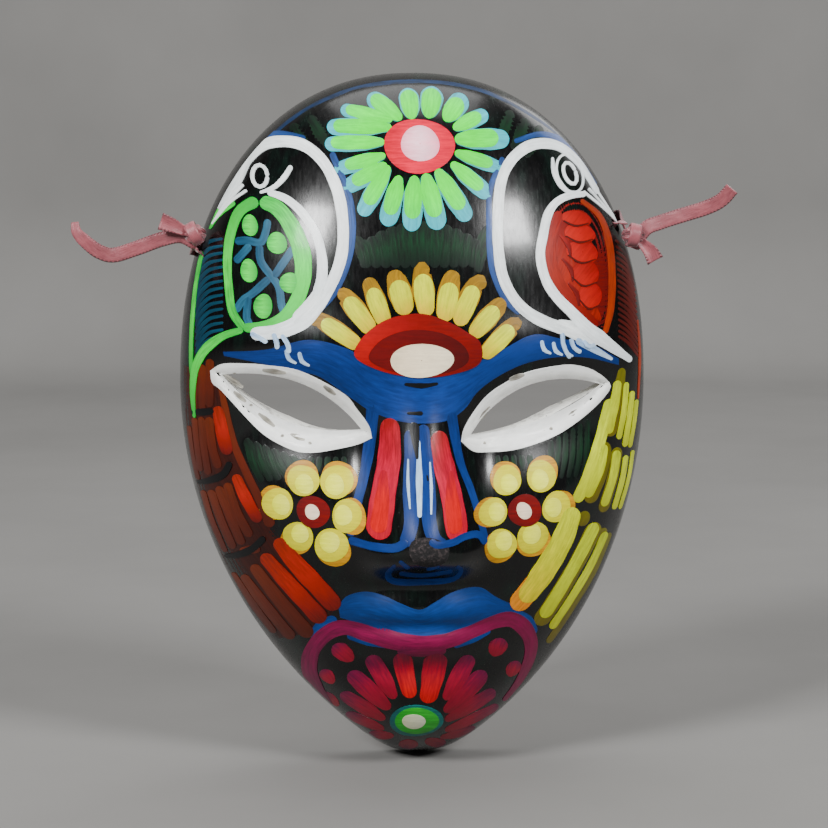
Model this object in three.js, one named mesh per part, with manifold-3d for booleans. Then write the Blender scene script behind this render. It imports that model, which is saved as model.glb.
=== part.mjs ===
// A hand-painted folk art mask: a press-moulded clay shell with two eye holes and a tie hole
// in each side wall, and a narrow satin ribbon looped through each tie hole and knotted.
//
// Millimetres. +Z points to the forehead, -Y the way the face looks, +X to the right of someone
// who faces it. The flat back rim lies in the plane y = 0, and the origin is the middle of that
// rim at the top of the forehead.
import * as THREE from "three";
import { mergeVertices } from "three/addons/utils/BufferGeometryUtils.js";
import Module from "manifold-3d";

// ---- Driving dimensions ----
const HALF_WIDTH = 47.5; // outline, from the middle to each side at its widest level
const FOREHEAD_RISE = 62.5; // from the widest level up to the top of the outline
const CHIN_DROP = 77.5; // from the widest level down to the chin
const CROWN_POWER = 2.2; // superellipse power of the outline above the widest level
const LEFT_JAW_POWER = 1.45; // how fast the jaw tapers below it; the right side is fuller
const RIGHT_JAW_POWER = 1.27;
const CHIN_ROUNDING = 0.25; // takes the point off the very end of the chin
const DOME_DEPTH = 32; // how far the face bulges, without its features
const DOME_POWER = 2.3; // superellipse power of the bulge
const RIM_WIDTH = 5.5; // flat back rim, and the clay's thickness at the side walls
const FACE_WALL = 5; // clay thickness in the middle of the face
const INSIDE_RELIEF = 0.6; // share of the features' height that shows inside
const WIDEST_Z = RIM_WIDTH / 2 - FOREHEAD_RISE; // the widest level, below the origin

const TIE_HOLE_RADIUS = 1.9;
const TIE_HOLE_DEPTH = 10; // from the rim's plane forward to each tie hole
const RIBBON_WIDTH = 3;
const RIBBON_THICKNESS = 0.36; // two layers of satin and the air between them
const GROOVE_DEPTH = 1; // of the groove in the rim that each ribbon's loop lies in
const GROOVE_WIDTH = 4;
const KNOT_RADIUS = 2.3;
const GAP = 0.3; // between pieces that touch on the real object

// ---- Mesh resolution ----
const AROUND = 64;
const OUTER_RINGS = 42;
const INNER_RINGS = 16;

// The eye holes. Corners and bulges are in the face's plane: x, and height above the widest
// level. The lower wall of each hole slopes, so the hole is taller in front than behind.
const EYES = [
  { outer: [-39.5, 3.6], inner: [-10.8, -7], upper: 4.8, lower: 6.4, lowerBehind: 3.1 },
  { outer: [37, 1.3], inner: [8.8, -8.2], upper: 5.9, lower: 4.6, lowerBehind: 0.9 },
];

// The ribbons. Directions and points are in the face's plane, relative to the middle of the
// knot: x outwards, height up, and depth towards the wall.
const TIES = [
  {
    name: "left",
    side: -1,
    holeHeight: 26.5,
    knot: { along: 3.4, lift: 3, ahead: 0 },
    stub: [[2.4, 0.9, -0.6], [4.6, 1.9, -1.0], [6.4, 2.5, -0.8]],
    tail: [[2.6, -0.4, 0.2], [6.5, -1.1, 0.9], [11.5, -2.9, 1.4], [16, -4.2, 0.7],
      [18.8, -3.5, -0.3], [21.3, -1.6, -0.9], [23.2, 0.4, -0.7], [23.6, 2.4, -0.2]],
  },
  {
    name: "right",
    side: 1,
    holeHeight: 32.4,
    knot: { along: -3.5, lift: 2.9, ahead: 1.4 },
    stub: [[1.9, -1.7, -0.6], [3.3, -3.2, -1.0], [4.2, -4.8, -0.9]],
    tail: [[2.5, 1.3, 0.3], [5.5, 2.5, 1.2], [10.2, 3.9, 2.2], [14.9, 5.3, 2.6],
      [18, 6.9, 1.8], [20, 9.3, 0.6]],
  },
];

const wasm = await Module();
wasm.setup();

// ---- The face as a height field over its outline ----

const bump = (x, h, atX, atH, spreadX, spreadH) =>
  Math.exp(-(((x - atX) / spreadX) ** 2) - ((h - atH) / spreadH) ** 2);
const pair = (x, h, atX, ...rest) => bump(x, h, atX, ...rest) + bump(x, h, -atX, ...rest);
const ease = (from, to, value) => THREE.MathUtils.smoothstep(value, from, to);

// The nose: a broad ridge that grows taller and wider from the bridge down to the tip.
function nose(x, h) {
  const down = 1 - ease(-32, 4, h);
  const width = 5.5 + 5.5 * down;
  const along = (1 - ease(-12, 10, h)) * ease(-38, -30, h);
  const ridge = (3 + 5.5 * down) * along * Math.exp(-(Math.abs(x / width) ** 2.3));
  return ridge + 1.6 * bump(x, h, 0, -28.5, 6, 5) + 1.3 * pair(x, h, 8.5, -31, 4, 3.5);
}

// How far the features stand out of the plain dome, at height h above the widest level.
function relief(x, h) {
  const forehead = 2 * bump(x, h, 0, 22, 34, 24);
  const brows = 1.5 * pair(x, h, 19, 9, 15, 6);
  const sockets = -3.4 * pair(x, h, 24, -5.5, 14, 9) - 1.6 * pair(x, h, 13, -9, 5, 8);
  const cheeks = 2 * pair(x, h, 24, -27, 12, 12);
  const muzzle = 2.2 * bump(x, h, 0, -44, 19, 12);
  const upperLip = 1.5 * pair(x, h, 6.5, -42.5, 7, 3.2);
  const lowerLip = 1.7 * bump(x, h, 0, -49.3, 12, 3.4);
  const creases = -0.9 * bump(x, h, 0, -46, 14, 1.5) - 0.9 * bump(x, h, 0, -55, 13, 3);
  const chin = 3.6 * bump(x, h, 0, -65, 15, 10);
  return forehead + brows + sockets + cheeks + muzzle + upperLip + lowerLip + creases + chin
    + nose(x, h);
}

// A place in the outline: share 0 is the middle and 1 the outline itself, turn goes round it.
function placeInOutline(share, turn, inset) {
  const s = Math.sin(turn);
  const c = Math.cos(turn);
  const crown = 2 / CROWN_POWER;
  const jaw = s > 0 ? RIGHT_JAW_POWER : LEFT_JAW_POWER;
  const taper = c > 0 ? crown : jaw - CHIN_ROUNDING * c ** 20;
  const x = (HALF_WIDTH - inset) * Math.sign(s) * Math.abs(s) ** taper;
  const h = c > 0 ? (FOREHEAD_RISE - inset) * c ** crown : (CHIN_DROP - inset) * c;
  return { x: x * share, h: h * share };
}

// One ring of a bulging surface, at a share of the way from its middle to its edge in the rim.
function ring(share, inset, depth, reliefShare) {
  const bulge = (1 - share ** DOME_POWER) ** (1 / DOME_POWER);
  const fade = 1 - share ** 8;
  return Array.from({ length: AROUND }, (_, i) => {
    const { x, h } = placeInOutline(share, (2 * Math.PI * i) / AROUND, inset);
    const forward = depth * bulge + reliefShare * fade * relief(x, h);
    return new THREE.Vector3(x, -forward, WIDEST_Z + h);
  });
}

// Rings from the front pole, over the rim, to the pole behind it, as one closed mesh.
function closedRings(frontPole, rings, backPole) {
  const points = [frontPole, ...rings.flat(), backPole];
  const at = (r, i) => 1 + r * AROUND + (i % AROUND);
  const last = points.length - 1;
  const faces = [];
  for (let i = 0; i < AROUND; i++) {
    faces.push(0, at(0, i + 1), at(0, i));
    for (let r = 0; r < rings.length - 1; r++) {
      faces.push(at(r, i), at(r, i + 1), at(r + 1, i + 1));
      faces.push(at(r, i), at(r + 1, i + 1), at(r + 1, i));
    }
    faces.push(last, at(rings.length - 1, i), at(rings.length - 1, i + 1));
  }
  return new THREE.BufferGeometry().setFromPoints(points).setIndex(faces);
}

// Shares of the way to the rim, closer together where the surface turns back to it.
const ringShares = (count) => Array.from({ length: count }, (_, i) => 1 - (1 - (i + 1) / count) ** 1.5);

function plainShell() {
  const innerDepth = DOME_DEPTH - FACE_WALL;
  const outer = ringShares(OUTER_RINGS).map((share) => ring(share, 0, DOME_DEPTH, 1));
  const inner = ringShares(INNER_RINGS)
    .map((share) => ring(share, RIM_WIDTH, innerDepth, INSIDE_RELIEF))
    .reverse();
  const pole = (depth, share) => new THREE.Vector3(0, -depth - share * relief(0, 0), WIDEST_Z);
  return closedRings(pole(DOME_DEPTH, 1), [...outer, ...inner], pole(innerDepth, INSIDE_RELIEF));
}

// ---- Solids ----

// A closed three.js geometry as a solid that can be joined and cut.
function solid(geometry) {
  const bare = geometry.index ? geometry.toNonIndexed() : geometry.clone();
  bare.deleteAttribute("normal");
  bare.deleteAttribute("uv");
  const merged = mergeVertices(bare, 1e-4);
  return new wasm.Manifold(
    new wasm.Mesh({
      numProp: 3,
      vertProperties: merged.attributes.position.array,
      triVerts: new Uint32Array(merged.index.array),
    }),
  );
}

function geometryOf(manifold) {
  const mesh = manifold.getMesh();
  const geometry = new THREE.BufferGeometry()
    .setAttribute("position", new THREE.BufferAttribute(mesh.vertProperties, 3))
    .setIndex(new THREE.BufferAttribute(mesh.triVerts, 1));
  geometry.computeVertexNormals();
  return geometry;
}

// An almond between two corners, with the given bulge above and below its long axis.
function almond(corners, above, below) {
  const [a, b] = corners.map(([x, h]) => new THREE.Vector2(x, WIDEST_Z + h)).sort((p, q) => p.x - q.x);
  const middle = a.clone().add(b).multiplyScalar(0.5);
  const across = b.clone().sub(a).rotateAround(new THREE.Vector2(), Math.PI / 2).normalize();
  const over = middle.clone().addScaledVector(across, 2 * above);
  const under = middle.clone().addScaledVector(across, -2 * below);
  return new THREE.Shape()
    .moveTo(a.x, a.y)
    .quadraticCurveTo(under.x, under.y, b.x, b.y)
    .quadraticCurveTo(over.x, over.y, a.x, a.y);
}

// The cutter of one eye hole: an almond prism whose lower side slopes up towards the back.
function eyeCutter({ outer, inner, upper, lower, lowerBehind }) {
  const frontY = -46;
  const behindY = -4;
  const slopeFromY = -31;
  const slopeToY = -21;
  const slices = [frontY, slopeFromY, slopeToY, behindY];
  const points = slices.map((y) => {
    const below = THREE.MathUtils.mapLinear(
      THREE.MathUtils.clamp(y, slopeFromY, slopeToY), slopeFromY, slopeToY, lower, lowerBehind);
    return almond([outer, inner], upper, below)
      .getPoints(12)
      .slice(0, -1)
      .map((p) => new THREE.Vector3(p.x, y, p.y));
  });
  return solid(loft(points));
}

// Convex closed outlines with equal numbers of points, joined in turn and capped flat.
function loft(outlines) {
  const n = outlines[0].length;
  const faces = [];
  for (let r = 0; r < outlines.length - 1; r++)
    for (let i = 0; i < n; i++) {
      const j = (i + 1) % n;
      faces.push(r * n + i, (r + 1) * n + j, r * n + j);
      faces.push(r * n + i, (r + 1) * n + i, (r + 1) * n + j);
    }
  const last = (outlines.length - 1) * n;
  for (let i = 1; i < n - 1; i++) {
    faces.push(0, i, i + 1);
    faces.push(last, last + i + 1, last + i);
  }
  return new THREE.BufferGeometry().setFromPoints(outlines.flat()).setIndex(faces);
}

// ---- Tie holes and ribbons ----

// Where a tie hole meets the outside of the wall, and the way out of the clay there.
function tieHole({ side, holeHeight }) {
  const onWall = (h, depth) => {
    const share = (1 - (depth / DOME_DEPTH) ** DOME_POWER) ** (1 / DOME_POWER);
    const x = HALF_WIDTH
      * (share ** CROWN_POWER - (h / FOREHEAD_RISE) ** CROWN_POWER) ** (1 / CROWN_POWER);
    return new THREE.Vector3(side * x, -depth, WIDEST_Z + h);
  };
  const place = onWall(holeHeight, TIE_HOLE_DEPTH);
  const up = onWall(holeHeight + 1, TIE_HOLE_DEPTH).sub(place).normalize();
  const forward = onWall(holeHeight, TIE_HOLE_DEPTH + 1).sub(place);
  const out = forward.cross(up).multiplyScalar(-side).normalize();
  const back = new THREE.Vector3().crossVectors(out, up).multiplyScalar(-side).normalize();
  return { place, out, up, back };
}

function tieHoleCutter(tie) {
  const { place, out } = tieHole(tie);
  const cutter = new THREE.CylinderGeometry(TIE_HOLE_RADIUS, TIE_HOLE_RADIUS, 24, 16);
  cutter.applyQuaternion(
    new THREE.Quaternion().setFromUnitVectors(new THREE.Vector3(0, 1, 0), out));
  return solid(cutter.translate(...place.toArray()));
}

// A shallow groove across the rim behind each tie hole, so that the loop lies below the rim.
function grooveCutter(tie) {
  const { place, out, up, back } = tieHole(tie);
  const behind = place.clone().addScaledVector(back, TIE_HOLE_DEPTH / back.y);
  const across = new THREE.Vector3(out.x, 0, out.z).normalize();
  const box = new THREE.BoxGeometry(24, 2 * GROOVE_DEPTH, GROOVE_WIDTH);
  box.rotateY(-Math.atan2(across.z, across.x));
  return solid(box.translate(behind.x, 0, behind.z));
}

function clayShell() {
  let clay = solid(plainShell());
  for (const eye of EYES) clay = clay.subtract(eyeCutter(eye));
  for (const tie of TIES) clay = clay.subtract(tieHoleCutter(tie)).subtract(grooveCutter(tie));
  return geometryOf(clay);
}

function knotPlace(tie) {
  const { place, out, up, back } = tieHole(tie);
  const { along, lift, ahead } = tie.knot;
  return place.clone()
    .addScaledVector(up, along)
    .addScaledVector(out, lift)
    .addScaledVector(back, -ahead);
}

// A flat ribbon through the given centres. Its width points along widthAt(share, tangent).
function ribbon(centres, widthAt, steps) {
  const path = new THREE.CatmullRomCurve3(centres, false, "centripetal");
  const corners = [[-1, -1], [1, -1], [1, 1], [-1, 1]];
  const sections = Array.from({ length: steps + 1 }, (_, k) => {
    const centre = path.getPoint(k / steps);
    const tangent = path.getTangent(k / steps);
    const width = widthAt(k / steps, tangent).addScaledVector(
      tangent, -tangent.dot(widthAt(k / steps, tangent))).normalize();
    const face = new THREE.Vector3().crossVectors(tangent, width);
    return corners.map(([t, w]) =>
      centre.clone()
        .addScaledVector(face, (t * RIBBON_THICKNESS) / 2)
        .addScaledVector(width, (w * RIBBON_WIDTH) / 2));
  });
  return loft(sections);
}

// The ribbon from the knot through the hole, round the rim and back up to the knot.
function ribbonLoop(tie) {
  const { place, out, up, back } = tieHole(tie);
  const { along, ahead } = tie.knot;
  const from = (outwards, backwards, upwards) =>
    place.clone()
      .addScaledVector(out, outwards)
      .addScaledVector(back, backwards)
      .addScaledVector(up, upwards);
  const inGroove = (outwards) =>
    from(outwards, (TIE_HOLE_DEPTH - GROOVE_DEPTH / 2 - out.y * outwards) / back.y, 0);
  const towards = Math.sign(along);
  const points = [
    from(1.9, -0.4 * ahead, 0.8 * towards),
    from(0.9, -0.1 * ahead, 0.1 * towards),
    from(-2.8, 0, 0),
    from(-6.4, 0.4, 0),
    from(-7.5, 3, 0),
    from(-7.9, 5.6, 0),
    from(-7.9, 6.8, 0),
    inGroove(-6.8),
    inGroove(-4.5),
    inGroove(-2.2),
    from(-0.9, 8.9, 0),
    from(-0.2, 7.2, 0.1 * towards),
    from(0.9, 3.2 - ahead, 1.6 * towards),
  ];
  const widths = new THREE.CatmullRomCurve3(
    points.map((_, i) => (i < 2 ? back.clone().multiplyScalar(towards) : up.clone())));
  return ribbon(points, (share) => widths.getPoint(share), 44);
}

// The knot: a squeezed ball of ribbon with one turn of it drawn tight round the middle.
function ribbonKnot(tie) {
  const ball = new THREE.SphereGeometry(KNOT_RADIUS, 16, 10).scale(1, 0.8, 0.86);
  const half = RIBBON_WIDTH / 2;
  const turn = [
    [0.6, -half], [KNOT_RADIUS - 0.1, -half], [KNOT_RADIUS + 0.15, 0],
    [KNOT_RADIUS - 0.1, half], [0.6, half], [0.6, -half],
  ].map(([r, y]) => new THREE.Vector2(r, y * 0.7));
  const wrap = new THREE.LatheGeometry(turn, 18).rotateZ(tie.side * 0.9).rotateX(0.5);
  const knot = solid(ball).add(solid(wrap));
  return geometryOf(knot).translate(...knotPlace(tie).toArray());
}

// A stretch of ribbon that faces forward, through points given relative to the knot.
function facingRibbon(tie, offsets, steps) {
  const knot = knotPlace(tie);
  const points = offsets.map(([x, h, depth]) =>
    new THREE.Vector3(tie.side * x, depth, h).add(knot));
  const forward = new THREE.Vector3(0, -1, 0);
  return ribbon(points, (_, tangent) => forward.clone().cross(tangent), steps);
}

// ---- The mask ----

const black = new THREE.MeshStandardMaterial({ color: 0x0b0c0d, roughness: 0.28 });
const satin = new THREE.MeshStandardMaterial({ color: 0xb5696f, roughness: 0.45 });

function part(name, geometry, material) {
  const mesh = new THREE.Mesh(geometry, material);
  mesh.name = name;
  return mesh;
}

const mask = new THREE.Group();
mask.add(part("clay_shell", clayShell(), black));
for (const tie of TIES) {
  mask.add(part(`${tie.name}_ribbon_loop`, ribbonLoop(tie), satin));
  mask.add(part(`${tie.name}_ribbon_knot`, ribbonKnot(tie), satin));
  mask.add(part(`${tie.name}_ribbon_stub`, facingRibbon(tie, tie.stub, 6), satin));
  mask.add(part(`${tie.name}_ribbon_tail`, facingRibbon(tie, tie.tail, 24), satin));
}

export default mask;
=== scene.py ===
# A hand-painted clay mask on satin ribbons: the visible surfaces and paint, built on the
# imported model. Lengths are millimetres until a mesh is made, except for the camera, the lights and
# the floor; Blender and the frame use metres.
import math

import bmesh
import bpy
import numpy as np
from mathutils import Matrix, Vector


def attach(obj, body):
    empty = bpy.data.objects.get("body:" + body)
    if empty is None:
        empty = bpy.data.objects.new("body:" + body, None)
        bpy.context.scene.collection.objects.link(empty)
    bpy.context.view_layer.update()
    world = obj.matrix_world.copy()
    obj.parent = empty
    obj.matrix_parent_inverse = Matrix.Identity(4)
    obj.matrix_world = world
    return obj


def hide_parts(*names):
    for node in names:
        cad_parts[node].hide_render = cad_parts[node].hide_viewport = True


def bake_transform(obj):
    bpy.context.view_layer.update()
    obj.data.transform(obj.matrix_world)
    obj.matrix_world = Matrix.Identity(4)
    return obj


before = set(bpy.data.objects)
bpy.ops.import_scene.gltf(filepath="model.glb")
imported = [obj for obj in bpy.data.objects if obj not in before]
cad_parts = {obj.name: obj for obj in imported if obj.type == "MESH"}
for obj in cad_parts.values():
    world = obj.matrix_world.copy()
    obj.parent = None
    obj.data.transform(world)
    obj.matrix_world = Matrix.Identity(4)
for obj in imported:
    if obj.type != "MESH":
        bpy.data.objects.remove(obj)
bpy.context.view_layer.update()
MM = 0.001


# ---- The face as a height field over its outline, in millimetres ----
# x is to the right and h is the height above the widest level of the face.

HALF_WIDTH, FOREHEAD_RISE, CHIN_DROP = 47.5, 62.5, 77.5
CROWN_POWER, LEFT_JAW_POWER, RIGHT_JAW_POWER, CHIN_ROUNDING = 2.2, 1.45, 1.27, 0.25
DOME_DEPTH, DOME_POWER = 32, 2.3
RIM_WIDTH, FACE_WALL, INSIDE_RELIEF = 5.5, 5, 0.6
RELIEF_FADE = 8  # the power by which the features die away towards the outline
WIDEST_Z = RIM_WIDTH / 2 - FOREHEAD_RISE

# The eye holes: corners, and how far the edge bulges above and below the line between them.
# The lower wall of a hole slopes, so it bulges by below in front and by behind at the back.
EYES = {
    "left": {"corners": ((-39.5, 3.6), (-10.8, -7)), "above": 4.8, "below": 6.4, "behind": 3.1},
    "right": {"corners": ((8.8, -8.2), (37, 1.3)), "above": 5.9, "below": 4.6, "behind": 0.9},
}
EYE_SLOPE_FRONT, EYE_SLOPE_RUN = 31, 10  # where that slope starts, and how far back it runs
EYE_LIP = 1.3  # radius that the edge of an eye hole is rounded to


def bump(x, h, at_x, at_h, spread_x, spread_h):
    return np.exp(-(((x - at_x) / spread_x) ** 2) - ((h - at_h) / spread_h) ** 2)


def pair(x, h, at_x, *rest):
    return bump(x, h, at_x, *rest) + bump(x, h, -at_x, *rest)


def ease(start, end, value):
    t = np.clip((value - start) / (end - start), 0, 1)
    return t * t * (3 - 2 * t)


def nose(x, h):
    down = 1 - ease(-32, 4, h)
    width = 5.5 + 5.5 * down
    along = (1 - ease(-12, 10, h)) * ease(-38, -30, h)
    ridge = (3 + 5.5 * down) * along * np.exp(-(np.abs(x / width) ** 2.3))
    return ridge + 1.6 * bump(x, h, 0, -28.5, 6, 5) + 1.3 * pair(x, h, 8.5, -31, 4, 3.5)


def relief(x, h):
    """How far the features stand out of the plain dome."""
    forehead = 2 * bump(x, h, 0, 22, 34, 24)
    brows = 1.5 * pair(x, h, 19, 9, 15, 6)
    sockets = -3.4 * pair(x, h, 24, -5.5, 14, 9) - 1.6 * pair(x, h, 13, -9, 5, 8)
    cheeks = 2 * pair(x, h, 24, -27, 12, 12)
    muzzle = 2.2 * bump(x, h, 0, -44, 19, 12)
    upper_lip = 1.5 * pair(x, h, 6.5, -42.5, 7, 3.2)
    lower_lip = 1.7 * bump(x, h, 0, -49.3, 12, 3.4)
    creases = -0.9 * bump(x, h, 0, -46, 14, 1.5) - 0.9 * bump(x, h, 0, -55, 13, 3)
    chin = 3.6 * bump(x, h, 0, -65, 15, 10)
    return (forehead + brows + sockets + cheeks + muzzle + upper_lip + lower_lip + creases
            + chin + nose(x, h))


def outline(turn, inset=0):
    """x and h of the outline. turn is 0 at the top of the forehead and goes round by +X."""
    s, c = np.sin(turn), np.cos(turn)
    jaw = np.where(s > 0, RIGHT_JAW_POWER, LEFT_JAW_POWER)
    taper = np.where(c > 0, 2 / CROWN_POWER, jaw - CHIN_ROUNDING * np.abs(c) ** 20)
    x = (HALF_WIDTH - inset) * np.sign(s) * np.abs(s) ** taper
    up = (FOREHEAD_RISE - inset) * np.clip(c, 0, 1) ** (2 / CROWN_POWER)
    return x, np.where(c > 0, up, (CHIN_DROP - inset) * c)


OUTLINE_TURNS = np.linspace(0, 2 * np.pi, 721)
OUTLINE_X, OUTLINE_H = outline(OUTLINE_TURNS)
OUTLINE_RADII = np.hypot(OUTLINE_X, OUTLINE_H)
OUTLINE_BEARINGS = np.unwrap(np.arctan2(OUTLINE_X, OUTLINE_H))


def share_of_outline(x, h):
    """0 in the middle of the face and 1 on its outline."""
    bearing = np.mod(np.arctan2(x, h), 2 * np.pi)
    return np.hypot(x, h) / np.interp(bearing, OUTLINE_BEARINGS, OUTLINE_RADII)


def almond_reach(x, h, eye):
    """Places along (-1 to 1) and across an eye hole, and how far it reaches on that side."""
    (x0, h0), (x1, h1) = eye["corners"]
    length = np.hypot(x1 - x0, h1 - h0)
    ax, ah = (x1 - x0) / length, (h1 - h0) / length
    along = ((x - (x0 + x1) / 2) * ax + (h - (h0 + h1) / 2) * ah) / (length / 2)
    across = (h - (h0 + h1) / 2) * ax - (x - (x0 + x1) / 2) * ah
    half = np.where(across > 0, eye["above"], eye["below"])
    return along, across, half


def face_front(x, h):
    """How far the painted side stands in front of the rim's plane, with rounded eye edges."""
    share = np.clip(share_of_outline(x, h), 0, 1)
    bulge = (1 - share ** DOME_POWER) ** (1 / DOME_POWER)
    front = DOME_DEPTH * bulge + (1 - share ** RELIEF_FADE) * relief(x, h)
    for eye in EYES.values():
        along, across, half = almond_reach(x, h, eye)
        edge = half * np.clip(1 - along ** 2, 0, 1)
        beyond = 12 * np.clip(np.abs(along) - 1, 0, None)
        clear = np.hypot(np.clip(np.abs(across) - edge, 0, None), beyond)
        inward = np.clip(1 - clear / EYE_LIP, 0, 1)
        front = front - EYE_LIP * 0.8 * (1 - np.sqrt(1 - 0.95 * inward ** 2))
    return front


# ---- Camera and light ----

CAMERA_BEARING = math.radians(-3.5)  # to the left of straight ahead
CAMERA_RISE = math.radians(7)
CAMERA_DISTANCE = 0.56
FIELD_WIDTH = 0.1705  # what the picture spans at the rim's plane


def add_camera():
    data = bpy.data.cameras.new("camera")
    data.sensor_width = 36
    data.lens = data.sensor_width * CAMERA_DISTANCE / FIELD_WIDTH
    data.clip_start = 0.01
    camera = bpy.data.objects.new("camera", data)
    bpy.context.collection.objects.link(camera)
    target = Vector((0.0004, 0, -0.067))
    towards = Vector((math.sin(CAMERA_BEARING) * math.cos(CAMERA_RISE),
                      -math.cos(CAMERA_BEARING) * math.cos(CAMERA_RISE),
                      math.sin(CAMERA_RISE)))
    camera.location = target + towards * CAMERA_DISTANCE
    camera.rotation_euler = (-towards).to_track_quat("-Z", "Y").to_euler()
    bpy.context.scene.camera = camera


def add_light(name, place, size, power, colour=(1, 1, 1)):
    data = bpy.data.lights.new(name, "AREA")
    data.size = size
    data.energy = power
    data.color = colour
    light = bpy.data.objects.new(name, data)
    light.location = place
    aim = Vector((0, 0, -0.06)) - light.location
    light.rotation_euler = aim.to_track_quat("-Z", "Y").to_euler()
    bpy.context.collection.objects.link(light)


def add_lights():
    add_light("left", (-0.72, -0.8, 0.6), 0.3, 22)
    add_light("right", (0.72, -0.8, 0.6), 0.3, 18)
    add_light("top", (0.0, 0.25, 1.0), 0.8, 6)
    add_light("back", (0.5, 0.6, 0.4), 0.4, 1.5)
    world = bpy.data.worlds.new("studio")
    world.use_nodes = True
    world.node_tree.nodes["Background"].inputs["Color"].default_value = (0.75, 0.76, 0.78, 1)
    world.node_tree.nodes["Background"].inputs["Strength"].default_value = 0.13
    bpy.context.scene.world = world


def add_floor(material):
    """A wide pale floor under the chin that turns up into a wall some way behind the mask."""
    floor_z, wall_y, bend, reach = -0.1375, 0.76, 0.08, 3.0
    profile = [(-reach, 0), (0, 0), (wall_y - bend, 0)]
    profile += [(wall_y - bend + bend * math.sin(a), bend * (1 - math.cos(a)))
                for a in np.linspace(0.2, math.pi / 2, 7)]
    profile.append((wall_y, reach / 2))
    across = np.linspace(-reach, reach, 9)
    verts = [(x, y, floor_z + z) for y, z in profile for x in across]
    mesh = bpy.data.meshes.new("floor")
    mesh.from_pydata(verts, [], grid_faces(len(profile), len(across)))
    mesh.materials.append(material)
    mesh.shade_smooth()
    floor = bpy.data.objects.new("floor", mesh)
    bpy.context.collection.objects.link(floor)


# ---- Materials ----

# Every listed colour is made this much stronger and darker, because the render makes it paler.
VIVID, DEEP = 1.12, 1.15
EDGE_SHADE = 0.12  # how much darker a stroke is along its edges


def linear(colour):
    """An RGB colour from 0 to 255 as the linear RGBA that shaders take."""
    share = np.array(colour, float) / 255
    light = np.where(share < 0.04045, share / 12.92, ((share + 0.055) / 1.055) ** 2.4)
    light = light ** DEEP
    grey = light @ (0.2126, 0.7152, 0.0722)
    return (*(grey + (light - grey) * VIVID).clip(0.0005, 1), 1)


def new_material(name, roughness, coat=0.0, sheen=0.0):
    material = bpy.data.materials.new(name)
    material.use_nodes = True
    shader = material.node_tree.nodes["Principled BSDF"]
    shader.inputs["Roughness"].default_value = roughness
    shader.inputs["Coat Weight"].default_value = coat
    shader.inputs["Coat Roughness"].default_value = 0.12
    shader.inputs["Sheen Weight"].default_value = sheen
    return material


def node(tree, kind, inputs=(), **settings):
    """A new node. inputs maps a socket's name or index to a value or to another node's output."""
    made = tree.nodes.new(kind)
    for key, value in settings.items():
        setattr(made, key, value)
    for key, value in dict(inputs).items():
        if isinstance(value, bpy.types.NodeSocket):
            tree.links.new(value, made.inputs[key])
        else:
            made.inputs[key].default_value = value
    return made


def attribute(tree, name):
    return node(tree, "ShaderNodeAttribute", attribute_name=name).outputs["Vector"]


def noise(tree, vector, stretch, detail=4.0):
    scaled = node(tree, "ShaderNodeVectorMath", {0: vector, 1: stretch}, operation="MULTIPLY")
    inputs = {"Vector": scaled.outputs[0], "Scale": 1.0, "Detail": detail, "Roughness": 0.6}
    return node(tree, "ShaderNodeTexNoise", inputs).outputs["Fac"]


def spread(tree, value, low, high, out_low=0.0, out_high=1.0):
    """Value from low to high as out_low to out_high, and no further."""
    return node(tree, "ShaderNodeMapRange", {"Value": value, "From Min": low, "From Max": high,
                                             "To Min": out_low, "To Max": out_high}).outputs[0]


def maths(tree, operation, a, b):
    return node(tree, "ShaderNodeMath", {0: a, 1: b}, operation=operation).outputs[0]


def ramp(tree, value, colours):
    made = node(tree, "ShaderNodeValToRGB", {"Fac": value})
    stops = made.color_ramp.elements
    while len(stops) < len(colours):
        stops.new(0.5)
    for k, colour in enumerate(colours):
        stops[k].position = k / (len(colours) - 1)
        stops[k].color = linear(colour)
    return made.outputs["Color"]


def mix(tree, share, a, b):
    """Colours a and b mixed by share. Each is an output or an RGB colour."""
    given = [each if isinstance(each, bpy.types.NodeSocket) else linear(each) for each in (a, b)]
    made = node(tree, "ShaderNodeMix", data_type="RGBA")
    for key, value in ((0, share), (6, given[0]), (7, given[1])):
        if isinstance(value, bpy.types.NodeSocket):
            tree.links.new(value, made.inputs[key])
        else:
            made.inputs[key].default_value = value
    return made.outputs[2]


def finish_material(material, colour, height, distance, roughness=None):
    tree = material.node_tree
    shader = tree.nodes["Principled BSDF"]
    tree.links.new(colour, shader.inputs["Base Color"])
    raised = node(tree, "ShaderNodeBump", {"Height": height, "Strength": 0.6, "Distance": distance * MM})
    tree.links.new(raised.outputs["Normal"], shader.inputs["Normal"])
    if roughness is not None:
        tree.links.new(roughness, shader.inputs["Roughness"])
    return material


def millimetres(tree):
    place = node(tree, "ShaderNodeTexCoord").outputs["Object"]
    scale = (1 / MM,) * 3
    return node(tree, "ShaderNodeVectorMath", {0: place, 1: scale}, operation="MULTIPLY").outputs[0]


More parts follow.
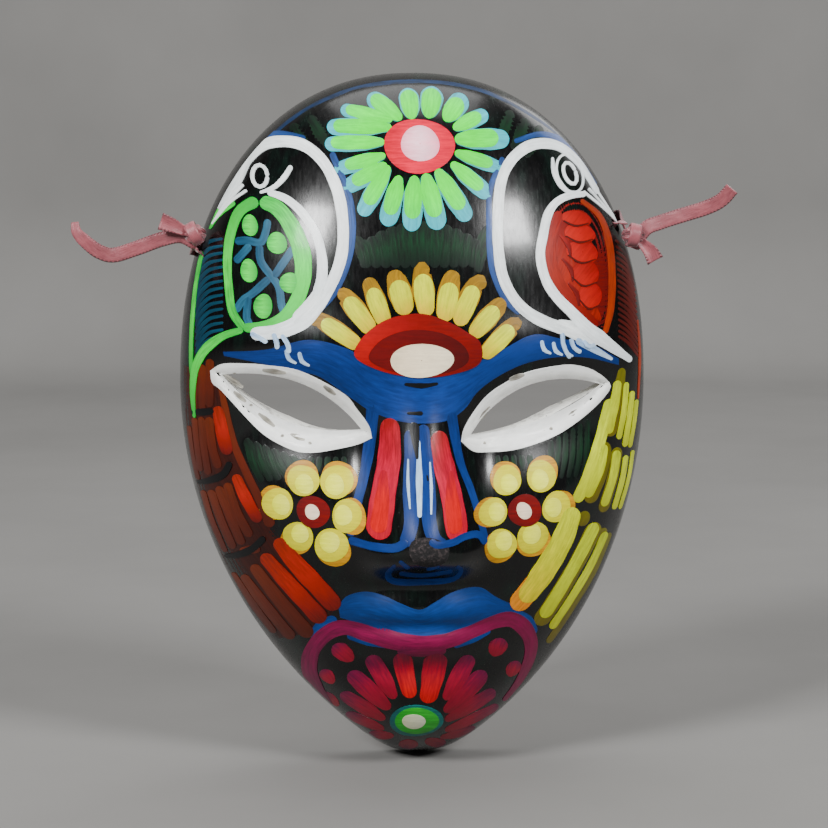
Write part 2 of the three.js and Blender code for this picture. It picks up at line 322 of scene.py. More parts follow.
def paint(name, colours, streaks=0.3):
    """Glossy brushed paint. The colours run from each stroke's start to its end."""
    material = new_material(name, 0.4, coat=0.12)
    tree = material.node_tree
    tree.nodes["Principled BSDF"].inputs["Specular IOR Level"].default_value = 0.25
    brush, tone = attribute(tree, "brush"), attribute(tree, "tone")
    parts = node(tree, "ShaderNodeSeparateXYZ", {0: tone}).outputs
    streak = noise(tree, brush, (0.28, 2.3, 1.0))
    cloud = noise(tree, brush, (0.45, 0.6, 1.0), 2.0)
    along = maths(tree, "ADD", parts[0], spread(tree, streak, 0.3, 0.7, -0.14, 0.14))
    colour = ramp(tree, along, colours)
    towards_edge = maths(tree, "POWER", maths(tree, "ABSOLUTE", parts[1], 0), 3.0)
    rim = maths(tree, "MULTIPLY", towards_edge, EDGE_SHADE)
    shade = maths(tree, "ADD", spread(tree, streak, 0.32, 0.7, streaks, -streaks * 0.3), rim)
    shade = maths(tree, "ADD", shade, spread(tree, cloud, 0.3, 0.7, 0.06, -0.06))
    shade = maths(tree, "ADD", shade, spread(tree, parts[2], -1, 1, 0.06, -0.06))
    value = maths(tree, "SUBTRACT", 1.0, shade)
    toned = node(tree, "ShaderNodeHueSaturation", {"Value": value, "Color": colour}).outputs[0]
    return finish_material(material, toned, streak, 0.05)


def varnish():
    """Black gloss paint with broad dark green brushwork, dust and fine brush marks."""
    material = new_material("black_varnish", 0.3, coat=0.3)
    material.node_tree.nodes["Principled BSDF"].inputs["Specular IOR Level"].default_value = 0.3
    tree = material.node_tree
    place = millimetres(tree)
    strokes = noise(tree, place, (0.16, 0.1, 0.07), 3.0)
    hairs = noise(tree, place, (1.6, 0.5, 0.35), 3.0)
    broken = spread(tree, hairs, 0.35, 0.7, 0.2, 0.8)
    green = maths(tree, "MULTIPLY", spread(tree, strokes, 0.5, 0.66), broken)
    colour = mix(tree, green, (3, 4, 5), (10, 36, 28))
    dust = noise(tree, place, (2.4, 2.4, 2.4), 2.0)
    colour = mix(tree, spread(tree, dust, 0.7, 0.78, 0, 0.35), colour, (95, 98, 96))
    rough = spread(tree, hairs, 0.3, 0.7, 0.2, 0.3)
    return finish_material(material, colour, hairs, 0.02, rough)


def bare_clay():
    """The unpainted inside: dark fired clay with smears of the finger that pressed it."""
    material = new_material("bare_clay", 0.85)
    tree = material.node_tree
    place = millimetres(tree)
    smears = noise(tree, place, (0.16, 0.3, 0.13), 5.0)
    grit = noise(tree, place, (2.6, 2.6, 2.6), 3.0)
    colour = ramp(tree, smears, [(70, 44, 34), (112, 70, 52), (142, 94, 70)])
    colour = mix(tree, spread(tree, grit, 0.6, 0.75, 0, 0.6), colour, (150, 118, 92))
    height = maths(tree, "ADD", smears, maths(tree, "MULTIPLY", grit, 0.3))
    return finish_material(material, colour, height, 0.5)


def eye_white():
    """White paint on the walls of the eye holes, grimy in its corners."""
    material = new_material("eye_hole_white", 0.55)
    tree = material.node_tree
    place = millimetres(tree)
    grime = noise(tree, place, (0.35, 0.5, 0.5), 5.0)
    specks = noise(tree, place, (1.6, 1.6, 1.6), 2.0)
    colour = mix(tree, spread(tree, grime, 0.5, 0.7, 0, 0.8), (240, 240, 235), (110, 107, 100))
    colour = mix(tree, spread(tree, specks, 0.7, 0.76), colour, (40, 38, 35))
    return finish_material(material, colour, grime, 0.2)


def satin():
    """Dusty pink satin ribbon: weave lines with painted highlights, looped edges and a soft sheen."""
    material = new_material("pink_satin", 0.42, sheen=0.3)
    tree = material.node_tree
    brush = attribute(tree, "brush")
    parts = node(tree, "ShaderNodeSeparateXYZ", {0: brush}).outputs
    warp_sheen = noise(tree, brush, (0.5, 9.0, 1.0), 2.0)
    weft = noise(tree, brush, (7.0, 1.2, 1.0), 2.0)
    soft = noise(tree, brush, (0.35, 0.3, 1.0), 3.0)
    colour = ramp(tree, soft, [(84, 38, 46), (134, 72, 80), (166, 100, 105)])
    # Painted highlight: the weave's lines are painted lighter in place of the satin's sheen; the same lines
    # raise the bump.
    colour = mix(tree, spread(tree, warp_sheen, 0.4, 0.65, 0, 0.5), colour, (178, 114, 118))
    out = maths(tree, "ABSOLUTE", parts[1], 0)
    edge = spread(tree, out, 1.1, 1.35)
    loops = maths(tree, "SINE", maths(tree, "MULTIPLY", parts[0], 9.0), 0)
    looped = maths(tree, "MULTIPLY", edge, spread(tree, loops, -0.6, 0.6, 0.2, 0.8))
    colour = mix(tree, looped, colour, (84, 34, 44))
    height = maths(tree, "ADD", maths(tree, "MULTIPLY", warp_sheen, 0.6), maths(tree, "MULTIPLY", weft, 0.4))
    height = maths(tree, "ADD", height, maths(tree, "MULTIPLY", edge, loops))
    return finish_material(material, colour, height, 0.12)


def crumbled_clay():
    """Dark clay where the paint of the nose's tip has chipped away."""
    material = new_material("chipped_clay", 0.9)
    tree = material.node_tree
    place = millimetres(tree)
    grit = noise(tree, place, (1.6, 1.6, 1.6), 5.0)
    colour = ramp(tree, grit, [(5, 4, 5), (20, 16, 18), (110, 98, 98)])
    return finish_material(material, colour, grit, 0.5)


def floor_material():
    material = new_material("floor", 0.9)
    tree = material.node_tree
    place = node(tree, "ShaderNodeTexCoord").outputs["Object"]
    cloud = noise(tree, place, (9.0, 9.0, 9.0), 4.0)
    return finish_material(material, ramp(tree, cloud, [(122, 121, 119), (140, 139, 137)]), cloud, 0.2)


# ---- Meshes ----

PAINTED_SHARE = 0.978  # of the way to the outline: the rest stays black


def front_points(x, h, lift=0.0):
    """Points on the painted side in metres, raised along its normal by lift millimetres."""
    x, h = np.asarray(x, float), np.asarray(h, float)
    share = share_of_outline(x, h)
    shrink = np.where(share > PAINTED_SHARE, PAINTED_SHARE / np.maximum(share, 1e-6), 1)
    x, h = x * shrink, h * shrink
    near = 0.05
    slope_x = (face_front(x + near, h) - face_front(x - near, h)) / (2 * near)
    slope_h = (face_front(x, h + near) - face_front(x, h - near)) / (2 * near)
    normal = np.stack([-slope_x, -np.ones_like(x), -slope_h], -1)
    normal /= np.linalg.norm(normal, axis=-1, keepdims=True)
    place = np.stack([x, -face_front(x, h), WIDEST_Z + h], -1)
    return (place + normal * np.asarray(lift)[..., None]) * MM


def grid_faces(rows, columns, closed=False, start=0):
    """Quads of a grid of points. closed joins the last column to the first."""
    faces = []
    for r in range(rows - 1):
        for c in range(columns if closed else columns - 1):
            d = (c + 1) % columns
            a, b = start + r * columns, start + (r + 1) * columns
            faces.append((a + c, a + d, b + d, b + c))
    return faces


def add_mesh(name, verts, faces, material, body, slot, attributes=None):
    mesh = bpy.data.meshes.new(name)
    mesh.from_pydata([tuple(v) for v in verts], [], faces)
    for key, values in (attributes or {}).items():
        layer = mesh.attributes.new(key, "FLOAT_VECTOR", "POINT")
        layer.data.foreach_set("vector", np.asarray(values, np.float32).ravel())
    for each in material if isinstance(material, (list, tuple)) else [material]:
        mesh.materials.append(each)
    mesh.shade_smooth()
    piece = bpy.data.objects.new(name, mesh)
    bpy.context.collection.objects.link(piece)
    if body:
        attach(piece, body)
    return piece


# ---- The clay shell ----

RIM_FILLET = 0.8
AROUND, FRONT_RINGS, INSIDE_RINGS = 320, 180, 70
RING_CROWDING = 1.5  # the power by which the rings come closer together towards the rim
TIE_HOLE_RADIUS, TIE_HOLE_DEPTH = 1.9, 10
GROOVE_DEPTH, GROOVE_WIDTH = 1, 4
CUTTER_LENGTH = 24
SHARP_EDGE = math.radians(40)
BLACK_COAT, BARE_COAT, WHITE_COAT = 0, 1, 2  # the shell's materials in order

# Each hole's height on the face, and its knot's place from it: along the wall, off it and ahead.
TIES = {
    "left": {"side": -1, "hole": 26.5, "along": 3.4, "lift": 3, "ahead": 0},
    "right": {"side": 1, "hole": 32.4, "along": -3.5, "lift": 2.9, "ahead": 1.4},
}


def shell_rings():
    """Rings of the shell from the middle of its front, over the rim, to its inside's middle."""
    turn = np.arange(AROUND) * 2 * math.pi / AROUND
    rings = []
    for t in np.arange(1, FRONT_RINGS + 1) / (FRONT_RINGS + 1):
        x, h = outline(turn)
        share = (1 - (1 - t) ** RING_CROWDING) * 0.9999
        rings.append((x * share, -face_front(x * share, h * share), h * share))
    for a in np.linspace(0.2, 1, 5) * math.pi / 2:
        x, h = outline(turn, RIM_FILLET * (1 - math.cos(a)))
        rings.append((x, np.full(AROUND, -RIM_FILLET * (1 - math.sin(a))), h))
    for a in np.linspace(0, 1, 5) * math.pi / 2:
        x, h = outline(turn, RIM_WIDTH - RIM_FILLET * (1 - math.sin(a)))
        rings.append((x, np.full(AROUND, -RIM_FILLET * (1 - math.cos(a))), h))
    for t in np.arange(1, INSIDE_RINGS + 1)[::-1] / (INSIDE_RINGS + 1):
        x, h = outline(turn, RIM_WIDTH)
        share = (1 - (1 - t) ** RING_CROWDING) * 0.9996
        bulge = (1 - share ** DOME_POWER) ** (1 / DOME_POWER)
        raised = INSIDE_RELIEF * (1 - share ** RELIEF_FADE) * relief(x * share, h * share)
        rings.append((x * share, -(DOME_DEPTH - FACE_WALL) * bulge - raised, h * share))
    return [np.stack(ring, -1) for ring in rings]


def shell_mesh():
    rings = shell_rings()
    front = [(0, -face_front(np.array(0.0), np.array(0.0)), 0)]
    back = [(0, -(DOME_DEPTH - FACE_WALL) - INSIDE_RELIEF * relief(0, 0), 0)]
    verts = np.concatenate([front, *rings, back]) + (0, 0, WIDEST_Z)
    faces = [(0, 1 + (i + 1) % AROUND, 1 + i) for i in range(AROUND)]
    faces += [f[::-1] for f in grid_faces(len(rings), AROUND, True, 1)]
    last, ring = len(verts) - 1, len(verts) - 1 - AROUND
    faces += [(last, ring + i, ring + (i + 1) % AROUND) for i in range(AROUND)]
    return verts * MM, [f[::-1] for f in faces]


def almond(eye, below, count=48, grow=0.0):
    """Points round an eye hole: x and h, starting at its left corner and going below first."""
    (x0, h0), (x1, h1) = eye["corners"]
    length = math.hypot(x1 - x0, h1 - h0)
    ax, ah = (x1 - x0) / length, (h1 - h0) / length
    t = (1 - np.cos(np.linspace(0, math.pi, count // 2 + 1))) / 2
    under = np.stack([t, -below * 4 * t * (1 - t)], -1)
    over = np.stack([t, eye["above"] * 4 * t * (1 - t)], -1)[::-1]
    both = np.concatenate([under[:-1], over[:-1]])
    s = (both[:, 0] - 0.5) * (length + 2 * grow)
    v = both[:, 1] + np.sign(both[:, 1]) * grow
    x = (x0 + x1) / 2 + s * ax - v * ah
    h = (h0 + h1) / 2 + s * ah + v * ax
    return x, h


def eye_section(eye, y, grow=0.0):
    """An eye hole's edge where it is y millimetres from the rim's plane."""
    slope = np.clip((y + EYE_SLOPE_FRONT) / EYE_SLOPE_RUN, 0, 1)
    return almond(eye, eye["below"] + (eye["behind"] - eye["below"]) * slope, grow=grow)


def eye_cutter(eye):
    """What an eye hole cuts away, from in front of the face to behind its wall."""
    levels = [-46, -31, -28, -24, -21, -4]
    verts = []
    for y in levels:
        x, h = eye_section(eye, y)
        verts += [(a, y, WIDEST_Z + b) for a, b in zip(x, h)]
    count = len(verts) // len(levels)
    faces = grid_faces(len(levels), count, True)
    faces += [tuple(range(count))[::-1], tuple(range(len(verts) - count, len(verts)))]
    return np.array(verts) * MM, faces


def tie_hole(tie):
    """Where a tie hole meets the outside, and the directions out, up and back along the wall."""
    def on_wall(h, depth):
        share = (1 - (depth / DOME_DEPTH) ** DOME_POWER) ** (1 / DOME_POWER)
        x = share ** CROWN_POWER - (h / FOREHEAD_RISE) ** CROWN_POWER
        return Vector((tie["side"] * HALF_WIDTH * x ** (1 / CROWN_POWER), -depth, WIDEST_Z + h))
    place = on_wall(tie["hole"], TIE_HOLE_DEPTH)
    up = (on_wall(tie["hole"] + 1, TIE_HOLE_DEPTH) - place).normalized()
    ahead = on_wall(tie["hole"], TIE_HOLE_DEPTH + 1) - place
    out = (ahead.cross(up) * -tie["side"]).normalized()
    back = (out.cross(up) * -tie["side"]).normalized()
    return place, out, up, back


def knot_place(tie):
    place, out, up, back = tie_hole(tie)
    return place + up * tie["along"] + out * tie["lift"] - back * tie["ahead"]


def face_outwards(piece):
    made = bmesh.new()
    made.from_mesh(piece.data)
    bmesh.ops.recalc_face_normals(made, faces=made.faces)
    made.to_mesh(piece.data)
    made.free()


def cut(target, cutter):
    face_outwards(cutter)
    modifier = target.modifiers.new("cut", "BOOLEAN")
    modifier.operation = "DIFFERENCE"
    modifier.solver = "EXACT"
    modifier.object = cutter
    bpy.context.view_layer.update()
    evaluated = target.evaluated_get(bpy.context.evaluated_depsgraph_get())
    mesh = bpy.data.meshes.new_from_object(evaluated)
    target.modifiers.clear()
    target.data = mesh
    bpy.data.objects.remove(cutter)


def tie_drill(tie):
    """The straight hole that a ribbon goes through."""
    place, out, _, _ = tie_hole(tie)
    made = bmesh.new()
    bmesh.ops.create_cone(made, segments=40, radius1=TIE_HOLE_RADIUS, cap_ends=True,
                          radius2=TIE_HOLE_RADIUS, depth=CUTTER_LENGTH)
    turn = Vector((0, 0, 1)).rotation_difference(out).to_matrix().to_4x4()
    bmesh.ops.transform(made, matrix=Matrix.Translation(place) @ turn, verts=made.verts)
    return made


def tie_groove(tie):
    """The groove across the back of the rim that a ribbon lies in."""
    place, out, _, back = tie_hole(tie)
    behind = place + back * (TIE_HOLE_DEPTH / back.y)
    made = bmesh.new()
    bmesh.ops.create_cube(made, size=1)
    spin = Matrix.Rotation(-math.atan2(out.z, out.x), 4, "Y")
    scale = Matrix.Diagonal((CUTTER_LENGTH, 2 * GROOVE_DEPTH, GROOVE_WIDTH, 1))
    middle = Matrix.Translation((behind.x, 0, behind.z))
    bmesh.ops.transform(made, matrix=middle @ spin @ scale, verts=made.verts)
    return made


def cut_ties(shell, coats):
    for tie in TIES.values():
        for made in (tie_drill(tie), tie_groove(tie)):
            made.verts.ensure_lookup_table()
            corners = [v.co * MM for v in made.verts]
            sides = [[v.index for v in f.verts] for f in made.faces]
            cut(shell, add_mesh("cutter", corners, sides, coats, None, None))
            made.free()


def bare_the_inside(shell):
    """Takes the black coat off the hollow and off the back of the rim."""
    for polygon in shell.data.polygons:
        normal, centre = polygon.normal, polygon.center
        inwards = normal.x * centre.x + normal.z * (centre.z - WIDEST_Z * MM) < 0
        if polygon.material_index == BLACK_COAT and normal.y > (0.01 if inwards else 0.6):
            polygon.material_index = BARE_COAT


def add_shell(black, bare, white):
    verts, faces = shell_mesh()
    coats = [black, bare, white]
    shell = add_mesh("mask_shell", verts, faces, coats, "mask", "painted_clay")
    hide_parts("clay_shell")
    face_outwards(shell)
    for eye in EYES.values():
        cutter = add_mesh("cutter", *eye_cutter(eye), coats, None, None)
        for polygon in cutter.data.polygons:
            polygon.material_index = WHITE_COAT
        cut(shell, cutter)
    cut_ties(shell, coats)
    bare_the_inside(shell)
    shell.data.shade_smooth()
    shell.data.set_sharp_from_angle(angle=SHARP_EDGE)


# ---- Brushwork: strokes laid on the face, one piece for each motif and colour ----

LAYER = 0.045  # how much higher each layer of paint stands, in millimetres
SWELL, SKIRT_DEPTH = 0.012, 0.04  # how much thicker paint is in the middle; how deep its edges go
ACROSS = np.array([-1, -1, -0.66, -0.33, 0, 0.33, 0.66, 1, 1])
SKIRT = np.array([1, 0, 0, 0, 0, 0, 0, 0, 1])  # the edges that go down into the clay
LINE_STEP, LOOP_STEP = 0.35, 0.6


def film(layer, share, skirt):
    """How high paint of a layer stands. share is 0 in its middle and 1 at its edges."""
    return layer * LAYER + SWELL * (1 - share ** 2) - (layer * LAYER + SKIRT_DEPTH) * skirt


def distances(line):
    """How far along a line each of its points is."""
    return np.concatenate([[0], np.cumsum(np.linalg.norm(np.diff(line, axis=0), axis=1))])


def smooth_line(points, step=LINE_STEP):
    """A curve through the points at even steps, and how far along it each place is."""
    p = np.array(points, float)
    p = np.concatenate([[2 * p[0] - p[1]], p, [2 * p[-1] - p[-2]]])
    t = np.linspace(0, 1, 16, endpoint=False)[:, None]
    spans = [(2 * b + (c - a) * t + (2 * a - 5 * b + 4 * c - d) * t ** 2
              + (3 * b - a - 3 * c + d) * t ** 3) / 2
             for a, b, c, d in zip(p, p[1:], p[2:], p[3:])]
    line = np.concatenate([*spans, p[-2:-1]])
    along = distances(line)
    even = np.linspace(0, along[-1], max(round(along[-1] / step), 4) + 1)
    return along_line(line, along, even), even


def along_line(line, along, places):
    return np.stack([np.interp(places, along, column) for column in line.T], -1)


class Coat:
    """Brush strokes of one paint, gathered into one piece."""

    def __init__(self, name, material):
        self.name, self.material = name, material
        self.random = np.random.default_rng(sum(map(ord, name)))
        self.count, self.faces = 0, []
        self.x, self.h, self.lift, self.brush, self.tone = [], [], [], [], []

    def grid(self, x, h, lift, brush, along, across, closed=False):
        """Adds a grid of places on the face, with the values its paint is coloured by."""
        rows, columns = x.shape
        self.faces += grid_faces(rows, columns, closed, self.count)
        self.count += x.size
        seed, shade = self.random.uniform(0, 90), self.random.uniform(-1, 1)
        full = np.ones_like(x)
        self.x.append(x.ravel())
        self.h.append(h.ravel())
        self.lift.append((lift * full).ravel())
        self.brush.append(np.stack([brush[0] * full, brush[1] * full, seed * full], -1).reshape(-1, 3))
        self.tone.append(np.stack([along * full, across * full, shade * full], -1).reshape(-1, 3))

    def stroke(self, points, widths, layer=1):
        """One stroke through the points. widths is one width, or several from start to end."""
        line, along = smooth_line(points)
        length = along[-1]
        widths = np.atleast_1d(widths)
        at = np.linspace(0, length, len(widths)) if len(widths) > 1 else [0]
        first, last = min(widths[0] / 2, length / 2), min(widths[-1] / 2, length / 2)
        near = np.array([0, 0.04, 0.15, 0.35, 0.65])
        steps = max(round((length - first - last) / 0.8), 1)
        straight = np.linspace(first, length - last, steps + 1)
        places = np.concatenate([near * first, straight, length - near[::-1] * last])
        line = along_line(line, along, places)
        from_end = np.minimum(places / first, (length - places) / last).clip(0, 1)
        phase = self.random.uniform(0, 6, 4)
        wobble = 1 + 0.025 * np.sin(0.5 * places + phase[0]) + 0.02 * np.sin(1.3 * places + phase[1])
        rounded = np.sqrt(1 - (1 - from_end) ** 2).clip(0.06)
        half = np.interp(places, at, widths) / 2 * wobble * rounded
        apart = np.maximum.accumulate(places + np.arange(len(places)) * 1e-6)
        tangent = np.gradient(line, apart, axis=0)
        tangent /= np.linalg.norm(tangent, axis=1, keepdims=True)
        off = half[:, None] * ACROSS
        x = line[:, :1] - tangent[:, 1:] * off
        h = line[:, 1:] + tangent[:, :1] * off
        lift = film(layer, ACROSS, SKIRT)
        self.grid(x, h, lift, (places[:, None], off), (places / length)[:, None], ACROSS)

    def fill(self, points, layer=1, grain=0.0, sharp=False):
        """A patch inside a closed outline that its middle can see all of."""
        if sharp:
            loop = np.array(points, float)
        else:
            loop = smooth_line([points[-1], *points, points[0], points[1]], LOOP_STEP)[0]
            half = len(loop) // 2
            from_first = np.linalg.norm(loop - points[0], axis=1)
            loop = loop[np.argmin(from_first[:half]):half + np.argmin(from_first[half:])]
        middle = loop.mean(axis=0)
        shares = np.array([0.02, 0.25, 0.45, 0.65, 0.8, 0.92, 1, 1])[:, None, None]
        places = middle + (loop - middle) * shares
        x, h = places[..., 0], places[..., 1]
        c, s = math.cos(grain), math.sin(grain)
        dx, dh = x - middle[0], h - middle[1]
        brush = (dx * c + dh * s, dh * c - dx * s)
        reach = np.abs((loop - middle) @ (c, s)).max()
        skirt = np.array([0, 0, 0, 0, 0, 0, 0, 1])[:, None]
        out = shares[..., 0]
        self.grid(x, h, film(layer, out, skirt), brush, 0.5 + 0.5 * brush[0] / reach, out, closed=True)

    def blob(self, middle, radius_x, radius_h=None, tilt=0.0, layer=1, grain=0.0):
        """A dab: an oval with an uneven edge. tilt is in degrees."""
        radius_h = radius_h or radius_x
        turn = np.linspace(0, 2 * math.pi, 40, endpoint=False)
        phase = self.random.uniform(0, 6, 3)
        uneven = 1 + 0.035 * np.sin(2 * turn + phase[0]) + 0.025 * np.sin(3 * turn + phase[1])
        x, h = radius_x * np.cos(turn) * uneven, radius_h * np.sin(turn) * uneven
        c, s = math.cos(math.radians(tilt)), math.sin(math.radians(tilt))
        loop = np.stack([middle[0] + x * c - h * s, middle[1] + x * s + h * c], -1)
        self.fill(loop, layer, grain, sharp=True)

    def band(self, upper, lower, layer=1, sharp=False):
        """A band between two lines that run the same way."""
        if sharp:
            lines = [np.array(upper, float), np.array(lower, float)]
        else:
            steps = max(round(smooth_line(upper)[1][-1] / 0.8), 4)
            lines = []
            for points in (upper, lower):
                line, along = smooth_line(points)
                lines.append(along_line(line, along, np.linspace(0, along[-1], steps + 1)))
        width = np.linalg.norm(lines[0] - lines[1], axis=1)
        columns = max(round(width.max() / 0.9), 4)
        share = np.concatenate([[0], np.linspace(0, 1, columns + 1), [1]])
        places = lines[0][:, None] + (lines[1] - lines[0])[:, None] * share[:, None]
        x, h = places[..., 0], places[..., 1]
        along = distances(places.mean(axis=1))
        skirt = np.concatenate([[1], np.zeros(columns + 1), [1]])
        across = 2 * share - 1
        brush = (along[:, None], share * width.mean())
        self.grid(x, h, film(layer, across, skirt), brush, (along / along[-1])[:, None], across)

    def dry(self):
        """Makes the piece."""
        lift = np.concatenate(self.lift)
        points = front_points(np.concatenate(self.x), np.concatenate(self.h), lift)
        values = {"brush": np.concatenate(self.brush), "tone": np.concatenate(self.tone)}
        piece = add_mesh(self.name, points, self.faces, self.material, "mask", "painted_clay", values)
        piece.data.set_sharp_from_angle(angle=math.radians(45))


# ---- Ribbons ----

RIBBON_WIDTH, RIBBON_THICKNESS = 3, 0.36
KNOT_RADIUS, KNOT_SQUEEZE = 2.3, (1, 0.82, 0.86)

# Points of each free end from the middle of its knot: outwards, up and back.
STUBS = {
    "left": [(0.6, 0.2, -0.6), (2.4, 0.9, -0.8), (4.6, 1.9, -1.0), (6.6, 2.6, -0.8)],
    "right": [(0.6, -0.6, -0.6), (1.9, -1.7, -0.8), (3.3, -3.2, -1.0), (4.3, -5, -0.9)],
}
TAILS = {
    "left": [(2.6, -0.4, 0.2), (6.5, -1.1, 0.9), (11.5, -2.9, 1.4), (16, -4.2, 0.7), (18.8, -3.5, -0.3),
             (21.3, -1.6, -0.9), (23.2, 0.4, -0.7), (23.6, 2.4, -0.2)],
    "right": [(2.5, 1.3, 0.3), (5.5, 2.5, 1.2), (10.2, 3.9, 2.2), (14.9, 5.3, 2.6), (18, 6.9, 1.8),
              (20, 9.3, 0.6)],
}


def tube(rows, columns):
    """The faces of a closed tube of points, with both ends capped."""
    caps = [tuple(range(columns))[::-1], tuple(range((rows - 1) * columns, rows * columns))]
    return grid_faces(rows, columns, True) + caps


def ribbon_mesh(points, width_at, widths, cupped=0.0, seed=1.0):
    """A ribbon through points in millimetres, flat across the direction width_at gives."""
    line, along = smooth_line(points)
    tangent = np.gradient(line, axis=0)
    tangent /= np.linalg.norm(tangent, axis=1, keepdims=True)
    share = along / along[-1]
    across = np.array([width_at(s, t) for s, t in zip(share, tangent)])
    across -= tangent * (across * tangent).sum(1, keepdims=True)
    across /= np.linalg.norm(across, axis=1, keepdims=True)
    face = np.cross(tangent, across)
    half = np.interp(share, np.linspace(0, 1, len(widths)), widths) / 2
    u = np.linspace(-1, 1, 9)
    section = [(a, 1) for a in u] + [(a, -1) for a in u[::-1]]
    verts, brush = [], []
    for place, w, n, r, s in zip(line, across, face, half, along):
        ripple = 0.05 * math.sin(1.1 * s + seed)
        for a, side in section:
            thin = RIBBON_THICKNESS / 2 * (1 - 0.75 * a ** 8)
            bend = cupped * r * a * a + ripple * a
            verts.append(place + w * (a * r) + n * (bend + side * thin))
            brush.append((s, a * r, seed))
    return np.array(verts) * MM, tube(len(line), len(section)), np.array(brush)


def from_knot(tie, points):
    """Points given outwards, up and back from the middle of a knot, as places in millimetres."""
    middle = np.array(knot_place(tie))
    return [middle + (tie["side"] * outwards, back, up) for outwards, up, back in points]


def loop_points(tie):
    """From the knot in through the hole, back along the wall, out in the groove and round the rim."""
    place, out, up, back = (np.array(v) for v in tie_hole(tie))
    ahead, t = tie["ahead"], math.copysign(1, tie["along"])

    def from_hole(outwards, backwards, upwards):
        return place + out * outwards + back * backwards + up * upwards

    def in_groove(outwards):
        return from_hole(outwards, (TIE_HOLE_DEPTH - GROOVE_DEPTH / 2 - out[1] * outwards) / back[1], 0)

    return [from_hole(1.9, -0.4 * ahead, 0.8 * t), from_hole(0.9, -0.1 * ahead, 0.1 * t),
            from_hole(-2.8, 0, 0), from_hole(-6.4, 0.4, 0), from_hole(-7.5, 3, 0),
            from_hole(-7.9, 5.6, 0), from_hole(-7.9, 6.8, 0), in_groove(-6.8), in_groove(-4.5),
            in_groove(-2.2), from_hole(-0.9, 8.9, 0), from_hole(-0.2, 7.2, 0.1 * t),
            from_hole(0.9, 3.2 - ahead, 1.6 * t)]


def add_loop(name, tie, material):
    _, _, up, back = (np.array(v) for v in tie_hole(tie))
    t = math.copysign(1, tie["along"])

    def width_at(share, _):
        turned = np.clip(1.6 - share * 12, 0, 1)
        return back * t * turned + up * (1 - turned)

    verts, faces, brush = ribbon_mesh(loop_points(tie), width_at, [2.9, 2.9], seed=2.0)
    piece = add_mesh(f"{name}_loop", verts, faces, material, "mask", "satin_ribbon", {"brush": brush})
    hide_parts(f"{name}_ribbon_loop")


def knot_ball(tie, seed):
    """The tied middle: a squeezed ball with the folds of the ribbon running over it."""
    middle = np.array(knot_place(tie))
    rows, columns = 25, 48
    verts, brush = [], []
    for r in range(rows):
        polar = math.pi * (0.02 + 0.96 * r / (rows - 1))
        for c in range(columns):
            turn = 2 * math.pi * c / columns
            around = math.sin(polar)
            d = np.array([math.cos(polar), around * math.cos(turn), around * math.sin(turn)])
            folds = 0.08 * math.sin(5 * turn + 3 * d[0] + seed) + 0.05 * math.sin(3 * turn - 5 * d[0])
            size = KNOT_RADIUS * (0.93 + folds)
            verts.append(middle + size * d * KNOT_SQUEEZE)
            brush.append((turn * 2.2, d[0] * 2 + folds * 4, seed))
    return np.array(verts) * MM, tube(rows, columns), np.array(brush)


def add_knot(name, tie, material):
    body = f"{name}_knot"
    verts, faces, brush = knot_ball(tie, 5.0 if tie["side"] > 0 else 1.0)
    piece = add_mesh(f"{name}_knot", verts, faces, material, body, "satin_ribbon", {"brush": brush})
    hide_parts(f"{name}_ribbon_knot")
    return piece


def facing(_, tangent):
    """A width direction that keeps the ribbon's face turned forward."""
    return np.cross((0, -1, 0), tangent)


def add_stub(name, tie, material):
    body, widths = f"{name}_knot", [1.7, 2.2, 3.0, 3.5]
    verts, faces, brush = ribbon_mesh(from_knot(tie, STUBS[name]), facing, widths, cupped=0.35, seed=5.0)
    piece = add_mesh(f"{name}_stub", verts, faces, material, body, "satin_ribbon", {"brush": brush})
    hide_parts(f"{name}_ribbon_stub")
    return piece


def knot_turn(middle, out, lean):
    """The turn that a tail takes round its knot before it leaves, drifting outwards."""
    reach = KNOT_RADIUS + 0.12
    ahead = np.array((0, -1, 0))
    return [middle + ahead * reach * 0.9 * math.cos(a) + lean * reach * 0.92 * math.sin(a)
            + out * (0.1 + 0.35 * a / (2 * math.pi)) for a in np.linspace(-1.2, 2 * math.pi - 1.6, 12)]


def add_tail(name, tie, material):
    """The wrap round the knot and the free tail, in one length that bends where it leaves."""
    middle, side = np.array(knot_place(tie)), tie["side"]
    tail = from_knot(tie, TAILS[name])
    out = np.array((side, 0, 0))
    lean = np.array((side * 0.45, 0, 0.9)) if name == "left" else np.array((side * 0.2, 0, 0.98))
    turn = knot_turn(middle, out, lean)
    points = turn + tail
    line, along = smooth_line(points)
    wrap_length = smooth_line(turn)[1][-1]

    def width_at(share, tangent):
        free = ease(wrap_length - 0.5, wrap_length + 3.0, share * along[-1])
        round_knot = np.cross(lean, (0, -1, 0))
        sideways = facing(share, tangent)
        if sideways @ round_knot < 0:
            round_knot = -round_knot
        return round_knot * (1 - free) + sideways * free

    widths = [2.2, 2.3, 2.6, 2.9, 3, 3, 3, 3, 3, 2.9]
    if name == "left":
        widths += [2.6, 1.5]  # the real end is curled in and frayed; here it only narrows
    verts, faces, brush = ribbon_mesh(points, width_at, widths, seed=7.0 + side)
    piece = add_mesh(f"{name}_tail", verts, faces, material, None, None, {"brush": brush})
    exit_place = np.array(tail[0]) * MM
    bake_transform(piece)
    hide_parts(f"{name}_ribbon_tail")


# ---- The painted motifs, in millimetres: x to the right, h up from the widest level ----

